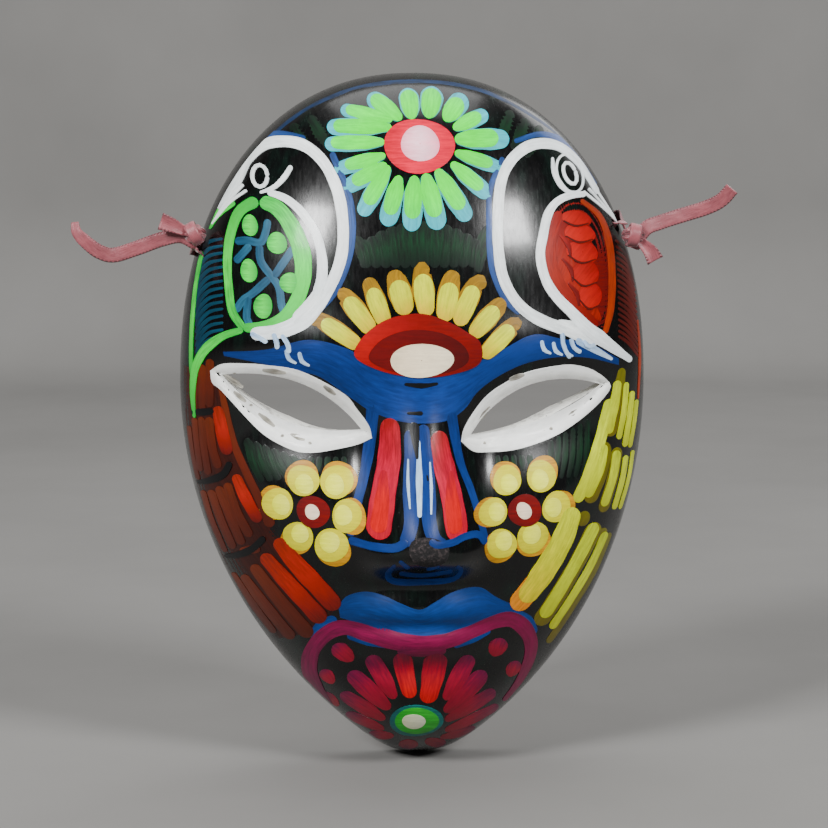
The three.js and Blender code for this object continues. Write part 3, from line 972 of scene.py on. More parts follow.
def paint_green_ground(coat):
    """Dark green brushed over the black between the birds and round the eyes."""
    for x in np.arange(-12, 13, 2.1):
        coat.stroke([(x, 34 - 0.03 * x * x), (x * 0.93, 29), (x * 0.88, 25)], [3, 3.4, 1.6], 0)
    for x in np.arange(-34, -23, 1.7):
        coat.stroke([(x, -9 - 0.35 * (x + 34)), (x + 1.4, -14), (x + 3, -17.5 + 0.2 * (x + 34))],
                    [1.8, 2, 1.2], 0)
    for x in np.arange(26, 35, 1.5):
        coat.stroke([(x, -9 + 0.5 * (x - 27)), (x - 0.3, -13), (x - 1.2, -17)], [1.1, 1.3, 0.9], 0)
    for x, h, lean in ((19, 55, -1.6), (22, 53.5, -2), (25, 52, -2.4), (-21, 54, 2), (-24.5, 52.5, 2.4),
                       (13.4, 33, 0.4), (12.6, 30, 0.2), (-12.8, 31, 0.2)):
        side = math.copysign(1, x)
        coat.stroke([(x, h), (x - side * 1.5, h - 3), (x - side * (1.5 + abs(lean)), h - 6)],
                    [2, 2.8, 1.4], 0)
    for side in (-1, 1):
        for x in np.arange(15, 23, 1.6):
            coat.stroke([(side * x, -12), (side * (x + 0.3), -15)], [1.3, 0.9], 0)


# The forehead flower: each petal's tip, base and greatest width.
PETALS = [
    ((-1.7, 59.4), (-1.2, 53.3), 4.2), ((3.6, 59.7), (2, 53.5), 4.5), ((9.7, 58), (5.2, 53), 4.2),
    ((14, 54.5), (6.8, 51.5), 3.3), ((18, 49.5), (7, 49.5), 4.3), ((16.2, 43.8), (6.9, 47), 3),
    ((13.6, 38.5), (6.1, 45), 3.4), ((9.2, 34), (3.2, 43.8), 4), ((3.3, 32.3), (1, 43), 4.3),
    ((-2, 32), (-1.1, 42.6), 4), ((-6.8, 33), (-4, 42.6), 3.8), ((-11.6, 35), (-6, 44.5), 3.6),
    ((-14.8, 40), (-6.4, 44.8), 3.4), ((-16.5, 43.6), (-6.6, 46.5), 3), ((-18.3, 48.5), (-6.7, 49), 3.3),
    ((-17.8, 51.8), (-5.2, 51.8), 3.5), ((-15, 55.3), (-5, 53.2), 3), ((-9.5, 58), (-3.2, 53.3), 3.8),
]


def paint_petals(coat, petals, layer, taper=0.55):
    for tip, base, width in petals:
        middle = [(tip[k] + base[k]) / 2 for k in (0, 1)]
        coat.stroke([tip, middle, base], [width * 0.8, width, width * 0.92, width * taper], layer)


def paint_forehead_flower(petal, under, ring, centre, line):
    paint_petals(under, PETALS, 1, 0.4)
    for tip, base, width in PETALS:
        back = 0.1 if tip[1] > 44 and tip[0] < 8 else 0.2
        tip = [t + (b - t) * back for t, b in zip(tip, base)]
        tip = (tip[0], tip[1] + 0.25)
        paint_petals(petal, [(tip, base, width * 0.86)], 2, 0.4)
    ring.blob((0, 48.2), 6.7, 5.4, layer=3)
    centre.blob((0.2, 48.6), 3.9, 3.3, layer=4)
    line.stroke([(-38, 37), (-31, 47.5), (-23, 54.5), (-16, 58), (-10, 60), (1, 60.9), (10.5, 59.7),
                 (18, 57), (27, 51.5), (34, 45)], [0.4, 1, 0.5], 0)


# The sun between the brows: the tip and base of each ray, and the shade under its tip.
RAYS = [
    ((-19.3, 14.8), (-12.1, 10.1), 2.6, (-21.6, 14.6)), ((-14.6, 19.3), (-9.6, 12.8), 2.8, (-16.3, 19.8)),
    ((-9.8, 21.2), (-7.1, 14.1), 2.7, (-10.7, 23.1)), ((-4.9, 22.7), (-3.1, 16.1), 3.3, (-4.9, 24.7)),
    ((0, 23.9), (0.8, 15.8), 3, (1.3, 25.2)), ((5.5, 22.2), (4.1, 14.8), 3, (6.8, 24.2)),
    ((10.2, 21.5), (6.8, 14), 2.8, (12.5, 22)), ((14.6, 17.3), (9.4, 11.9), 2.8, (16.3, 18.3)),
    ((17.5, 13.6), (11.5, 7.9), 2.8, (19, 13.3)),
]


def paint_sun(ray, shade, disc, deep, centre):
    for tip, base, width, under in RAYS:
        shade.stroke([under, tip, base], [width * 1.05, width * 1.45, width], 2)
        middle = [(a + b) / 2 for a, b in zip(tip, base)]
        ray.stroke([tip, middle, base], [width * 1.1, width * 1.3, width], 3)
    disc.fill([(-12.9, 7.9), (-12, 11.3), (-8.6, 14.3), (-5, 15.8), (0, 16.3), (4.8, 14.8), (8.3, 12.9),
               (11.2, 10.6), (11, 6.6), (6, 4.6), (0, 4), (-7, 5)], 4)
    deep.fill([(-10.2, 7.4), (-8.6, 10.8), (-4.5, 12.8), (0, 13.2), (4.6, 12.2), (8.2, 9.8), (8.6, 6.8),
               (4, 4.8), (-4, 4.8)], 5)
    centre.blob((-0.2, 7.3), 6.3, 3.2, layer=6)


def paint_brow(coat):
    """The blue band over both eyes and across the bridge."""
    coat.band([(-38.5, 8), (-30, 9), (-22, 11.2), (-15, 9.8), (-10, 7), (-5, 5.5), (0, 5), (5, 6),
               (12, 7.5), (16, 9.5), (20, 11.5), (23, 12), (27, 11), (34, 9.3), (40, 6)],
              [(-38.3, 7.2), (-32, 6.3), (-25, 5), (-20, 4), (-14.5, 0.3), (-10, -2.8), (-5, -4.4),
               (0, -4.8), (5, -4.4), (8.4, -2.4), (11, 1), (15, 4), (20, 6.3), (26, 7.3), (33, 6.8),
               (40, 4.7)], 1)


def paint_brow_shines(coat):
    for x, h in ((-25.5, 8), (-23, 7.6), (24, 9.6), (26.4, 9.2), (28.6, 8.8)):
        coat.stroke([(x - 0.7, h + 1.2), (x - 0.2, h - 0.6), (x + 1.3, h - 1.5)], [0.7, 0.9, 0.4], 3)
    coat.stroke([(30.5, 10.6), (34, 8.6), (38.5, 6)], [1.6, 1.4, 0.6], 3)


def paint_slots(coat):
    coat.stroke([(-3.5, 2.7), (0, 2.4), (3, 2.8)], [0.5, 1.1, 0.5], 3)
    coat.stroke([(-3, -2.9), (0, -2.9)], [0.5, 0.9], 3)
    coat.stroke([(-1.8, -4.6), (-1.5, -8), (-1.2, -11.5)], [2.2, 1.4, 0.5], 3)


def paint_nose(side_red, cap, blue, pale, dark):
    side_red.stroke([(-6.2, -4), (-6.4, -11.3), (-7.7, -19), (-8.9, -27.3)], [3.4, 4.2, 4.6, 4.6], 2)
    side_red.stroke([(2.8, -6.3), (3.9, -12.5), (5.5, -19.3), (6.7, -27.3)], [3.2, 4, 4.4, 4.4], 2)
    for x, h in ((-7.6, -17), (5.3, -17)):
        cap.stroke([(x * 0.97, h + 3), (x * 1.04, h - 3), (x * 1.16, h - 9)], [1, 2.9, 3.1], 3)
    blue.stroke([(-9.4, -1.5), (-10.2, -9.8), (-11.5, -16.5), (-12.7, -21), (-14, -27.3)],
                [2.6, 1.9, 1.7], 1)
    blue.stroke([(-14.3, -28), (-10, -28.7), (-5.6, -28.5), (-3.3, -27)], 1.6, 3)
    blue.stroke([(5.6, -3), (7.2, -12), (9.6, -18.5), (12, -26.5), (12.3, -28.3)], [2.2, 1.4, 1.3], 1)
    blue.stroke([(1, -26.7), (2.3, -27.7), (5.6, -27.5), (7.9, -26.8), (10.9, -26.8), (12.4, -28.8)],
                1.4, 3)
    blue.stroke([(-2.4, -6), (-2.4, -11.5), (-2.7, -18), (-2.5, -23.5), (-3.8, -28)],
                [2.4, 2.6, 2.8, 2.4], 1)
    blue.stroke([(0, -5), (0.4, -11.3), (0.9, -18), (0.9, -23), (1.9, -26.5), (4.2, -28.3)],
                [2.2, 2.8, 2.8, 2.4], 1)
    blue.stroke([(-5.5, -32), (-6.7, -34.5), (-5.4, -36.3), (0, -36.4), (6, -36), (7.5, -33.8),
                 (6.4, -32.6)], [0.7, 1.4, 1.6, 1.6, 1.5, 1.2, 0.8], 1)
    blue.stroke([(-4.6, -34.2), (0, -34.6), (5.8, -33.8)], 1.2, 1)
    blue.stroke([(-4.8, -31), (-2.8, -32.8)], [0.8, 1.1], 1)
    blue.stroke([(0.5, -33), (3, -32.1)], [1.1, 0.8], 1)
    # Pale blue streaks down the ridge of the nose: pale paint, and partly painted highlights where the
    # ridge catches the light.
    pale.stroke([(-0.9, -8), (-0.9, -14), (-0.9, -22.5)], [0.6, 1.3, 0.8], 2)
    pale.stroke([(-2.9, -11.5), (-3, -16), (-2.7, -21)], [0.3, 0.6, 0.3], 3)
    pale.stroke([(1.2, -12), (1.4, -17), (1.3, -22)], [0.3, 0.6, 0.3], 3)
    dark.stroke([(0.6, -14.5), (0.8, -15.6)], 0.3, 3)


# The cheek flowers: middle, its radius, its dot's radii, and each petal's place and radii.
CHEEKS = {
    "left": ((-21.1, -22.7), 3.2, (1.3, 1.6),
             [(-23, -16.7, 3.2, 3.2), (-16.5, -16.8, 3.4, 3.4), (-14.6, -23.3, 3, 3.5),
              (-17.6, -29.3, 3.4, 3.7), (-24, -27.8, 3.1, 3.1), (-28, -21.5, 3.1, 3.4)]),
    "right": ((20.3, -22.8), 3.3, (1.4, 1.8),
              [(16.8, -16.8, 3, 3), (23.7, -16.3, 3.2, 3.2), (26.8, -22.5, 3.2, 3.2),
               (22, -28.3, 3.4, 3.4), (15.7, -29.2, 3.2, 3.2), (13.9, -22.8, 3, 3)]),
}


def paint_cheek(cheek, shade, petal, light, middle, dot):
    centre, radius, dot_size, petals = cheek
    for x, h, rx, rh in petals:
        dx, dh = x - centre[0], h - centre[1]
        far = math.hypot(dx, dh)
        dx, dh = dx / far, dh / far
        shade.blob((x + 0.8 * dx, h + 0.8 * dh), rx, rh, layer=2)
        petal.blob((x, h), rx * 0.95, rh * 0.95, layer=3)
        light.blob((x - 0.7 * dx, h - 0.7 * dh), rx * 0.56, rh * 0.6, layer=4)
    middle.blob(centre, radius, layer=5)
    dot.blob((centre[0] - 0.2, centre[1]), *dot_size, tilt=25, layer=6)


# The white rims of the eyes: the outer line over and under each eye, from left to right.
EYE_RIMS = {
    "left": ([(-41, 4), (-38.6, 5.6), (-34, 6), (-30, 5.9), (-23.5, 5), (-15.2, 0.6), (-12.5, -2.6),
              (-10.2, -5.8), (-9.6, -8.2)],
             [(-41, 4), (-40.6, 1.6), (-38.6, 0), (-33, -6), (-29.7, -8.8), (-25, -11), (-21.5, -11.4),
              (-16.8, -10.7), (-12.5, -9.7), (-9.6, -8.2)]),
    "right": ([(7.6, -8.8), (8.5, -5.8), (12.5, -0.2), (16.7, 2.8), (20, 4.4), (23.5, 5.2), (27, 5.6),
               (30, 5.6), (34, 4.4), (37.5, 1.9), (38.2, 0.6)],
              [(7.6, -8.8), (9.8, -10.8), (11.8, -11.3), (16.5, -11.3), (21.5, -10.4), (27, -8.6),
               (31.5, -6), (35.3, -3), (37.6, -0.6), (38.2, 0.6)]),
}


def opening(eye, count=96):
    """The edge of an eye hole where it meets the painted side."""
    below = eye["below"]
    for _ in range(4):
        x, h = almond(eye, below, count, grow=-0.3)
        depth = np.clip((EYE_SLOPE_FRONT - face_front(x, h)) / EYE_SLOPE_RUN, 0, 1)
        slope = np.mean(depth[count // 8:3 * count // 8])
        below = eye["below"] + (eye["behind"] - eye["below"]) * slope
    return x, h


def paint_grime(coat):
    """Smears and specks of dirt on the white rims of the eyes."""
    smears = [((-38.2, 3.4), (-36.4, 2.2), (-34.6, 1)), ((-36.4, 0.2), (-34, -1.8)),
              ((-31.6, -4), (-28.4, -6.6)), ((-25.4, -8), (-22.6, -9)), ((-30.8, 5), (-26.2, 4.6)),
              ((-19, 2.2), (-16.6, 0.4)), ((11.2, -5.2), (13.4, -2.2)), ((17, 3.2), (20, 4.2)),
              ((29.4, -5.2), (31.4, -3.8))]
    for points in smears:
        coat.stroke(points, [0.5, 1.1, 0.5], 5)
    specks = [(-36.2, 3.9), (-33, -2.4), (-27, -8.4), (-21.6, -9.6), (30.4, -4.4), (26, -7.4),
              (12.4, -9.6)]
    for middle in specks:
        coat.blob(middle, 0.32, 0.22, layer=6)


def paint_eye_rim(name, coat):
    over, under = EYE_RIMS[name]
    x, h = opening(EYES[name])
    half = len(x) // 2
    below = np.stack([x[:half + 1], h[:half + 1]], -1)
    above = np.stack([np.append(x[half:], x[0]), np.append(h[half:], h[0])], -1)[::-1]
    for outer, inner in ((over, above), (under, below)):
        line, along = smooth_line(outer)
        reach = distances(inner)
        outer_line = along_line(line, along, reach / reach[-1] * along[-1])
        coat.band(outer_line, inner, 4, sharp=True)


def bars(coat, lines, layer=2):
    """Straight or bent strokes. Each line is its points and then its width or widths."""
    for *points, widths in lines:
        coat.stroke(points, np.atleast_1d(widths) * 1.12, layer)


def paint_left_bars(ground, brown, orange, black):
    """Feather bars down the left side, in four rows that sweep round to the mouth."""
    ground.band([(-46.6, 4), (-46.9, -8), (-45.8, -19), (-42.6, -30), (-38, -40), (-33.4, -47),
                 (-29, -51.8)],
                [(-39.4, 4), (-37, -8), (-34, -16), (-29.4, -26), (-22, -35), (-17, -41.5),
                 (-19.5, -47.5)], 0)
    for points in ([(-45, -5), (-43, -4.6), (-40.4, -4)],
                   [(-44, -19.6), (-41.5, -18.4), (-38.6, -16.6), (-37.2, -14)],
                   [(-38.6, -34.6), (-36, -33.4), (-33, -31.4), (-30.6, -28.6)]):
        black.stroke(points, [0.8, 1.5, 1.2], 4)
    bars(brown, [
        ((-44.3, 3.5), (-44.3, -4.5), 1.2),
        ((-42.7, 5), (-42.8, -4.3), 1.4),
        ((-41.1, 6.3), (-41.3, -3.4), 1.5),
        ((-45.6, -8), (-44.9, -14), (-43.8, -19), 0.9),
        ((-44.4, -6), (-44, -11), (-43.3, -17), 1.1),
        ((-43, -5.6), (-42.6, -11), (-41.7, -17.3), 1.3),
        ((-41.4, -5.4), (-40.9, -11), (-39.6, -15.6), 1.6),
        ((-38, -18.3), (-36, -24), (-33.4, -29), 1.7),
        ((-39.7, -19.3), (-37.5, -25), (-35, -31), 1.7),
        ((-41.3, -20.4), (-39.4, -26), (-36.8, -32.3), 1.6),
        ((-42.9, -21), (-41.2, -27), (-38.4, -33.6), 1.2),
        ((-39, 1), (-36.9, -9), (-34, -16), (-31, -22), (-29.3, -26.3), [1, 1.4, 1.4, 2]),
        ((-33, -35), (-28.5, -41), (-24, -46.5), (-21.5, -49.5), [2, 2.8, 2.8]),
        ((-35, -37.8), (-31, -43.2), (-27, -48.2), (-25, -50.6), [1.8, 2.3, 2.3]),
        ((-37, -38), (-33, -44.3), (-28.6, -50.2), [1.2, 1.6, 1.5]),
        ((-35.5, -32.5), (-31.5, -31), [1.3, 1.8]),
    ])
    bars(orange, [
        ((-39.7, -3), (-38.8, -8), (-37.7, -12.6), [2, 2.3, 2.2]),
        ((-36.3, -16.4), (-34.2, -21), (-31.6, -25.6), [1.8, 2.2, 2]),
        ((-28.3, -28.7), (-24.5, -33.5), (-19.5, -39), (-16.3, -42.7), [2.6, 3.4, 3.4]),
        ((-31, -32.3), (-26, -38), (-21, -43.5), (-19, -45.8), [2.4, 3.2, 3.2]),
    ], 3)


def paint_right_bars(lime, olive, yellow, mustard):
    """Feather bars down the right side: lime over an olive shade, and one broad yellow bar."""
    bars(olive, [
        ((40.9, 4), (40.2, 0), (38.3, -9.6), [1.5, 2.6, 2.4]),
        ((37.2, -10.5), (36.4, -16), (33.7, -22.5), 3),
        ((40.1, -12), (39.2, -18), (37, -25), 2.4),
        ((33.5, -24.2), (32, -27), 2.6),
        ((36, -27), (32, -34.6), (28, -41.6), (24, -47.6), 3.6),
        ((38, -28.6), (37, -30.5), 2),
        ((39.3, -30), (36, -38), (31, -46), (26.6, -52.4), 1.6),
    ], 1)
    bars(lime, [
        ((39.9, 1.6), (39.2, -3), (38, -9), [1.6, 2, 1.6]),
        ((38.4, -2), (36.2, -10), (33.6, -17), (31, -22), 2.3),
        ((41.9, 1), (41.4, -5), (40.3, -10.4), 1.2),
        ((43.4, -1), (42.8, -6), (41.8, -12.2), 1.3),
        ((44.6, -3), (44, -8), (43.1, -12.6), 1),
        ((37, -11), (36, -16), (33.3, -21.3), 2),
        ((40, -12.6), (39.2, -18), (37.2, -23.8), 1.8),
        ((42.2, -14), (41.5, -19), (39.8, -25), 1.3),
        ((44, -13.4), (43.3, -19), (41.4, -25.4), 1),
        ((35.6, -27), (32, -34), (28, -41), (24.9, -46), 2.7),
        ((38.2, -29.5), (35, -36.4), (31, -43), (27, -49), 1.8),
    ])
    mustard.stroke([(28, -31), (23, -38), (18.6, -43.3)], [4, 4.6, 4.4], 3)
    yellow.stroke([(30.6, -23), (28.2, -29.5), (24.5, -36), (20.4, -41.8)], [3.6, 5, 5, 4.2], 4)


def paint_mouth(blue, magenta):
    blue.band([(-16.2, -42), (-14.5, -39.8), (-11, -38.7), (-7.5, -39.3), (-4, -40.8), (-0.4, -42),
               (2.5, -40.6), (5.5, -39), (9, -38), (12, -38.2), (14.5, -40), (17, -41.5), (19.4, -42.6)],
              [(-15.8, -44.5), (-12, -45.6), (-8, -46.8), (-4, -47.5), (0, -47.7), (4, -47.5), (8, -46.8),
               (12, -45.6), (15, -44.6), (17.6, -44), (19.8, -43.8)], 1)
    blue.stroke([(-21.5, -49.5), (-19.5, -46.5), (-16.5, -44.8)], [1, 2, 2], 1)
    blue.stroke([(-14.4, -48.2), (-11, -49), (-6.5, -49.8)], [1.6, 2, 1.2], 1)
    blue.stroke([(6.5, -50), (10, -48.8), (14, -47.2)], [1.2, 2, 1.6], 1)
    blue.stroke([(18.5, -43.8), (21.5, -46), (23.6, -49.5)], [1.6, 2.4, 1.6], 1)
    magenta.stroke([(-17.2, -66.2), (-20, -62), (-21.6, -58), (-21.3, -53), (-18.7, -48.6),
                    (-15, -46.6), (-10, -47.6), (-4, -48.9), (0, -49.2), (5, -48.8), (10, -47.3),
                    (15, -45.6), (18.5, -45.6), (21.5, -48.3), (22.9, -52), (22.6, -56), (21, -60.4),
                    (18, -65)],
                   [1.4, 3, 3.2, 3, 3.2, 3.8, 3.6, 3.2, 2.8, 3.2, 3.2, 2.8, 2.2, 1.4], 2)
    magenta.stroke([(-4.6, -51), (-0.5, -50.8), (5, -50.8)], [2, 2.6, 2], 2)


# The chin flower's petals: tip, base and width.
CHIN_PETALS = [
    ((-9.9, -52.4), (-4.9, -61.6), 4), ((-13.8, -56.6), (-5.8, -64.2), 4.4),
    ((-15.4, -62), (-6.6, -67), 3.9), ((-14.2, -67.4), (-6.6, -69.8), 3.4),
    ((-9.4, -72.3), (-4.6, -71.2), 3), ((-1.4, -75.4), (-1.6, -72), 4.6),
    ((10.2, -52.6), (5.2, -62), 4.2), ((13.4, -56.6), (5.2, -64.9), 4.5),
    ((15.8, -61.6), (5.4, -67), 3.9), ((17, -66), (5.6, -69.8), 3.4),
    ((12.4, -71), (4.8, -71.8), 3), ((6.2, -74.6), (1.8, -72.2), 3.2),
    ((-17, -50.7), (-13.2, -54), 4), ((-19.1, -56.9), (-17, -60), 3.2),
    ((-18.6, -62.8), (-15.8, -66), 2.8), ((16.4, -49.4), (15, -53.4), 4.4),
    ((20, -55.2), (18.8, -58.8), 3.8),
]


def paint_chin(petal, red, teal, green, centre):
    paint_petals(petal, [(tip, base, width * 0.94) for tip, base, width in CHIN_PETALS], 1, 0.42)
    red.stroke([(-3.8, -51.3), (-2.9, -56), (-1.7, -61.2)], [3.8, 3.8, 2.6], 2)
    red.stroke([(3.2, -51.4), (2.7, -56), (1.5, -62.4)], [5, 4.6, 3.2], 2)
    teal.blob((-0.4, -66.9), 5.2, 4.2, layer=3)
    green.blob((-0.3, -66.8), 4.3, 3.5, layer=4)
    centre.blob((-0.9, -66.8), 2.3, 1.9, layer=5)


# ---- The birds on the temples ----

def oval(middle, radius_x, radius_h, tilt=0.0):
    """Points round an oval, for a line that is drawn round an eye. tilt is in degrees."""
    c, s = math.cos(math.radians(tilt)), math.sin(math.radians(tilt))
    return [(middle[0] + radius_x * math.cos(a) * c - radius_h * math.sin(a) * s,
             middle[1] + radius_x * math.cos(a) * s + radius_h * math.sin(a) * c)
            for a in np.linspace(0, 2 * math.pi, 13)]


def paint_left_bird(white, green, vein, hatch, blue, pale):
    white.stroke([(-39.3, 35.5), (-36.8, 38.8), (-35.3, 41.5), (-33.8, 45), (-30.8, 47.8), (-27, 48.9),
                  (-22.5, 48.3), (-18.8, 45.3), (-16.3, 40.5), (-15.2, 35), (-15.2, 29), (-16.5, 24),
                  (-19.3, 19), (-22.8, 15), (-27, 12.8), (-31.5, 12), (-33, 11.6)],
                 [1.2, 2.2, 2.2, 2.2, 2.2, 2.2, 3.2, 2.4], 3)
    white.stroke([(-29.5, 39.2), (-26, 38), (-22.8, 35.3), (-20.3, 31.5), (-19.2, 27), (-19.3, 22.5),
                  (-20.2, 19.5)], [1.2, 1.8, 1.8, 2.4], 3)
    white.stroke([(-19, 21), (-21.3, 17.2), (-24.6, 14.2)], [2.4, 3.8, 3], 3)
    white.stroke([(-24.8, 44.3), (-26.3, 42), (-28.3, 40.1), (-31, 39)], [0.9, 1.1, 0.9, 0.5], 3)
    for gap in (0, 1.1, 2.1):
        white.stroke([(-33.6 - gap * 0.6, 39.4 + gap), (-37 - gap * 0.4, 36.8), (-40.6, 32.4)],
                     [0.6, 0.5, 0.3], 3)
    white.stroke(oval((-31, 42.2), 1.5, 2.1), 0.75, 3)
    green.stroke([(-31, 37.5), (-27.5, 36), (-24.3, 31.5), (-22.8, 26), (-23.5, 20), (-26.5, 15.5),
                  (-30.5, 13.5), (-34.5, 12.9)], [2.6, 3.4, 3.2, 2.2, 1.8], 2)
    green.stroke([(-34.5, 12.9), (-36.6, 16), (-37.3, 21), (-37.5, 26), (-36.8, 31), (-35, 35.3),
                  (-31.5, 37.6)], [1.6, 1.6, 1.8, 2.4], 2)
    for x, h, rx, rh in ((-33, 32.7, 1.5, 2.1), (-27.8, 29.5, 2, 2), (-33.3, 24, 1.6, 2.3),
                         (-25.5, 22, 1.9, 1.9), (-30.6, 17.3, 1.8, 2.4)):
        green.blob((x, h), rx, rh, layer=2)
    green.stroke([(-36, 37), (-39.5, 34.5), (-41.3, 31.5)], [1, 1.6, 1], 2)
    green.stroke([(-42.6, 27), (-43.9, 20), (-44.7, 12), (-44.9, 5), (-44.5, 1)], 0.8, 3)
    green.stroke([(-34.5, 12.6), (-38.5, 11), (-42, 8), (-44, 4), (-44.6, -1), (-44.3, -6)],
                 [1.2, 1.8, 1.4, 0.6], 4)
    for points in ([(-36, 29.5), (-33.5, 29.8), (-31, 29.5), (-30, 31.5), (-29.5, 34)],
                   [(-36, 25.5), (-33, 29)],
                   [(-31.2, 29), (-31, 26), (-29, 23.2), (-27.5, 21), (-27, 17.5), (-26.3, 16)],
                   [(-28.5, 23), (-26.5, 26), (-24.5, 28.8)],
                   [(-29.3, 22.8), (-32.5, 19.8), (-34.5, 18.3), (-36, 16)],
                   [(-33.5, 19), (-33.8, 15), (-33, 13.5)]):
        vein.stroke(points, 1.5, 1)
    for h in np.arange(7.0, 26.5, 1.35):
        hatch.stroke([(-44, h - 1.4), (-43.1, h + 1), (-41.2, h + 3.1), (-38.4, h + 4)], [0.4, 0.8, 0.5], 1)
    blue.stroke([(-17, 47), (-13.8, 38), (-13.7, 29), (-16.5, 21), (-20.5, 16)], [1.2, 1.5, 1.5, 1], 1)
    blue.stroke([(-34.9, 45.8), (-31, 49.5), (-27, 50.4), (-22, 49.6)], [0.9, 1.4, 1], 1)
    for points in ([(-28.6, 12.2), (-28, 10.5), (-27.9, 9.2)], [(-27, 12), (-25.8, 10), (-25.7, 8.5)],
                   [(-33, 12), (-30.5, 10.8), (-30, 10.2)]):
        pale.stroke(points, 0.9, 5)


def paint_right_bird(white, ground, wing, hatch, bright, blue, pale, edge):
    white.stroke([(28.5, 12.5), (22.5, 15), (18.5, 18.2), (15.8, 23), (14.9, 29), (15, 35), (15.8, 41),
                  (17.8, 45), (21, 47.6), (24.5, 48.5), (28.5, 47.8), (32.1, 45.2), (34.6, 41.8),
                  (36.6, 38.4)], [2.4, 2.1, 2.1, 2.1, 1.3], 3)
    white.stroke([(33.5, 38.5), (30, 38.3), (27.2, 37.3), (25.2, 35), (24, 31), (23.3, 27), (24.3, 22.5),
                  (26.5, 19), (29.5, 16), (33, 12.5), (37, 9.5), (43, 5.2)], [1, 1.8, 1.9, 2, 2.8, 1.2], 4)
    white.stroke([(26, 13.6), (30, 12.4), (35, 9.4)], [2.4, 3.4, 1.6], 3)
    white.stroke([(26.8, 45.8), (26.9, 43), (28.2, 40.4), (30, 38.8)], [0.5, 1, 1.2, 0.8], 3)
    for gap in (0, 1.3, 2.6):
        white.stroke([(33 + gap, 39 + 0.4 * gap), (37.4 + gap * 0.5, 35.6), (41.4, 32)],
                     [0.6, 0.45, 0.3], 4)
    for radius_x, radius_h, width in ((1.3, 2.2, 0.7), (2.8, 3.8, 0.5)):
        white.stroke(oval((30.4, 42.6), radius_x, radius_h, 22), width, 3)
    ground.fill([(28.5, 37.2), (33, 37.4), (36.6, 33), (38, 27), (38, 20), (36.8, 12.5), (31, 17),
                 (26.6, 21), (25, 27), (26, 33)], 0)
    wing.stroke([(27.6, 35.4), (25.6, 30), (25.6, 25), (27.6, 20.4), (30.6, 17), (35, 12.6)],
                [2, 2.8, 2.6, 2], 2)
    wing.fill([(26.6, 33.6), (28.6, 34), (29.6, 29), (31, 24), (34.4, 18), (36, 13.8), (31.6, 16.6),
               (28, 20.4), (26, 25), (25.7, 30)], 1, grain=1.2)
    for x, h, rx, rh in ((31.2, 33.9, 3.2, 1.5), (31.8, 31, 3.5, 1.8), (32.2, 27.4, 3.5, 2.2),
                         (32.6, 23.2, 3.2, 2.5), (33.6, 18.8, 2.6, 2.6)):
        bright.blob((x, h), rx, rh, tilt=-10, layer=2, grain=0.8)
        hatch.stroke([(x - rx * 0.9, h - rh * 0.2), (x - 0.4, h - rh * 0.95), (x + rx * 0.8, h - rh * 0.7)],
                     [0.2, 0.45, 0.2], 4)
    for x, h in ((27.4, 31), (27.8, 26.4), (29, 21.6)):
        ground.stroke([(x, h), (x + 1.8, h - 2.2), (x + 2.2, h - 4.6)], [0.4, 1, 0.4], 3)
    edge.stroke([(32.4, 37.4), (36.5, 34), (38.3, 29), (38.7, 23), (38.2, 16), (36.8, 11.3)],
                [0.9, 1.6, 1.7, 1.2], 2)
    edge.stroke([(44.9, 13), (45.4, 6), (45, -3)], [0.5, 0.8, 0.5], 2)
    for h in np.arange(10.5, 30, 1.1):
        hatch.stroke([(39.9, h), (42.4, h - 1.8), (45.4 - 0.03 * h, h - 5)], [0.5, 0.7, 0.5], 1)
    blue.stroke([(16.5, 46), (13.7, 40), (13.3, 33), (13.6, 25), (16, 19), (19, 16)], [1, 1.3, 1], 1)
    blue.stroke([(19, 49), (24.5, 50.3), (29.5, 49), (33, 45.5), (36.5, 40)], [0.9, 1.3, 0.9], 1)
    for points in ([(27.6, 12), (27.8, 9.5), (29.2, 7)], [(29.3, 10.8), (30, 9), (31.5, 8)],
                   [(32, 10.3), (33, 9), (34.5, 9.3)]):
        pale.stroke(points, 0.8, 6)


def paint_chip(coat):
    coat.fill([(-2.6, -27.2), (-0.6, -26.2), (2.2, -26.6), (4.6, -28.2), (4.2, -31), (1.6, -32.2),
               (-1.4, -31.6), (-2.9, -29.4)], 2)


# ---- Putting it all together ----

GREEN, PALE_BLUE = (84, 246, 70), (84, 186, 200)
BLUE = (22, 56, 116)


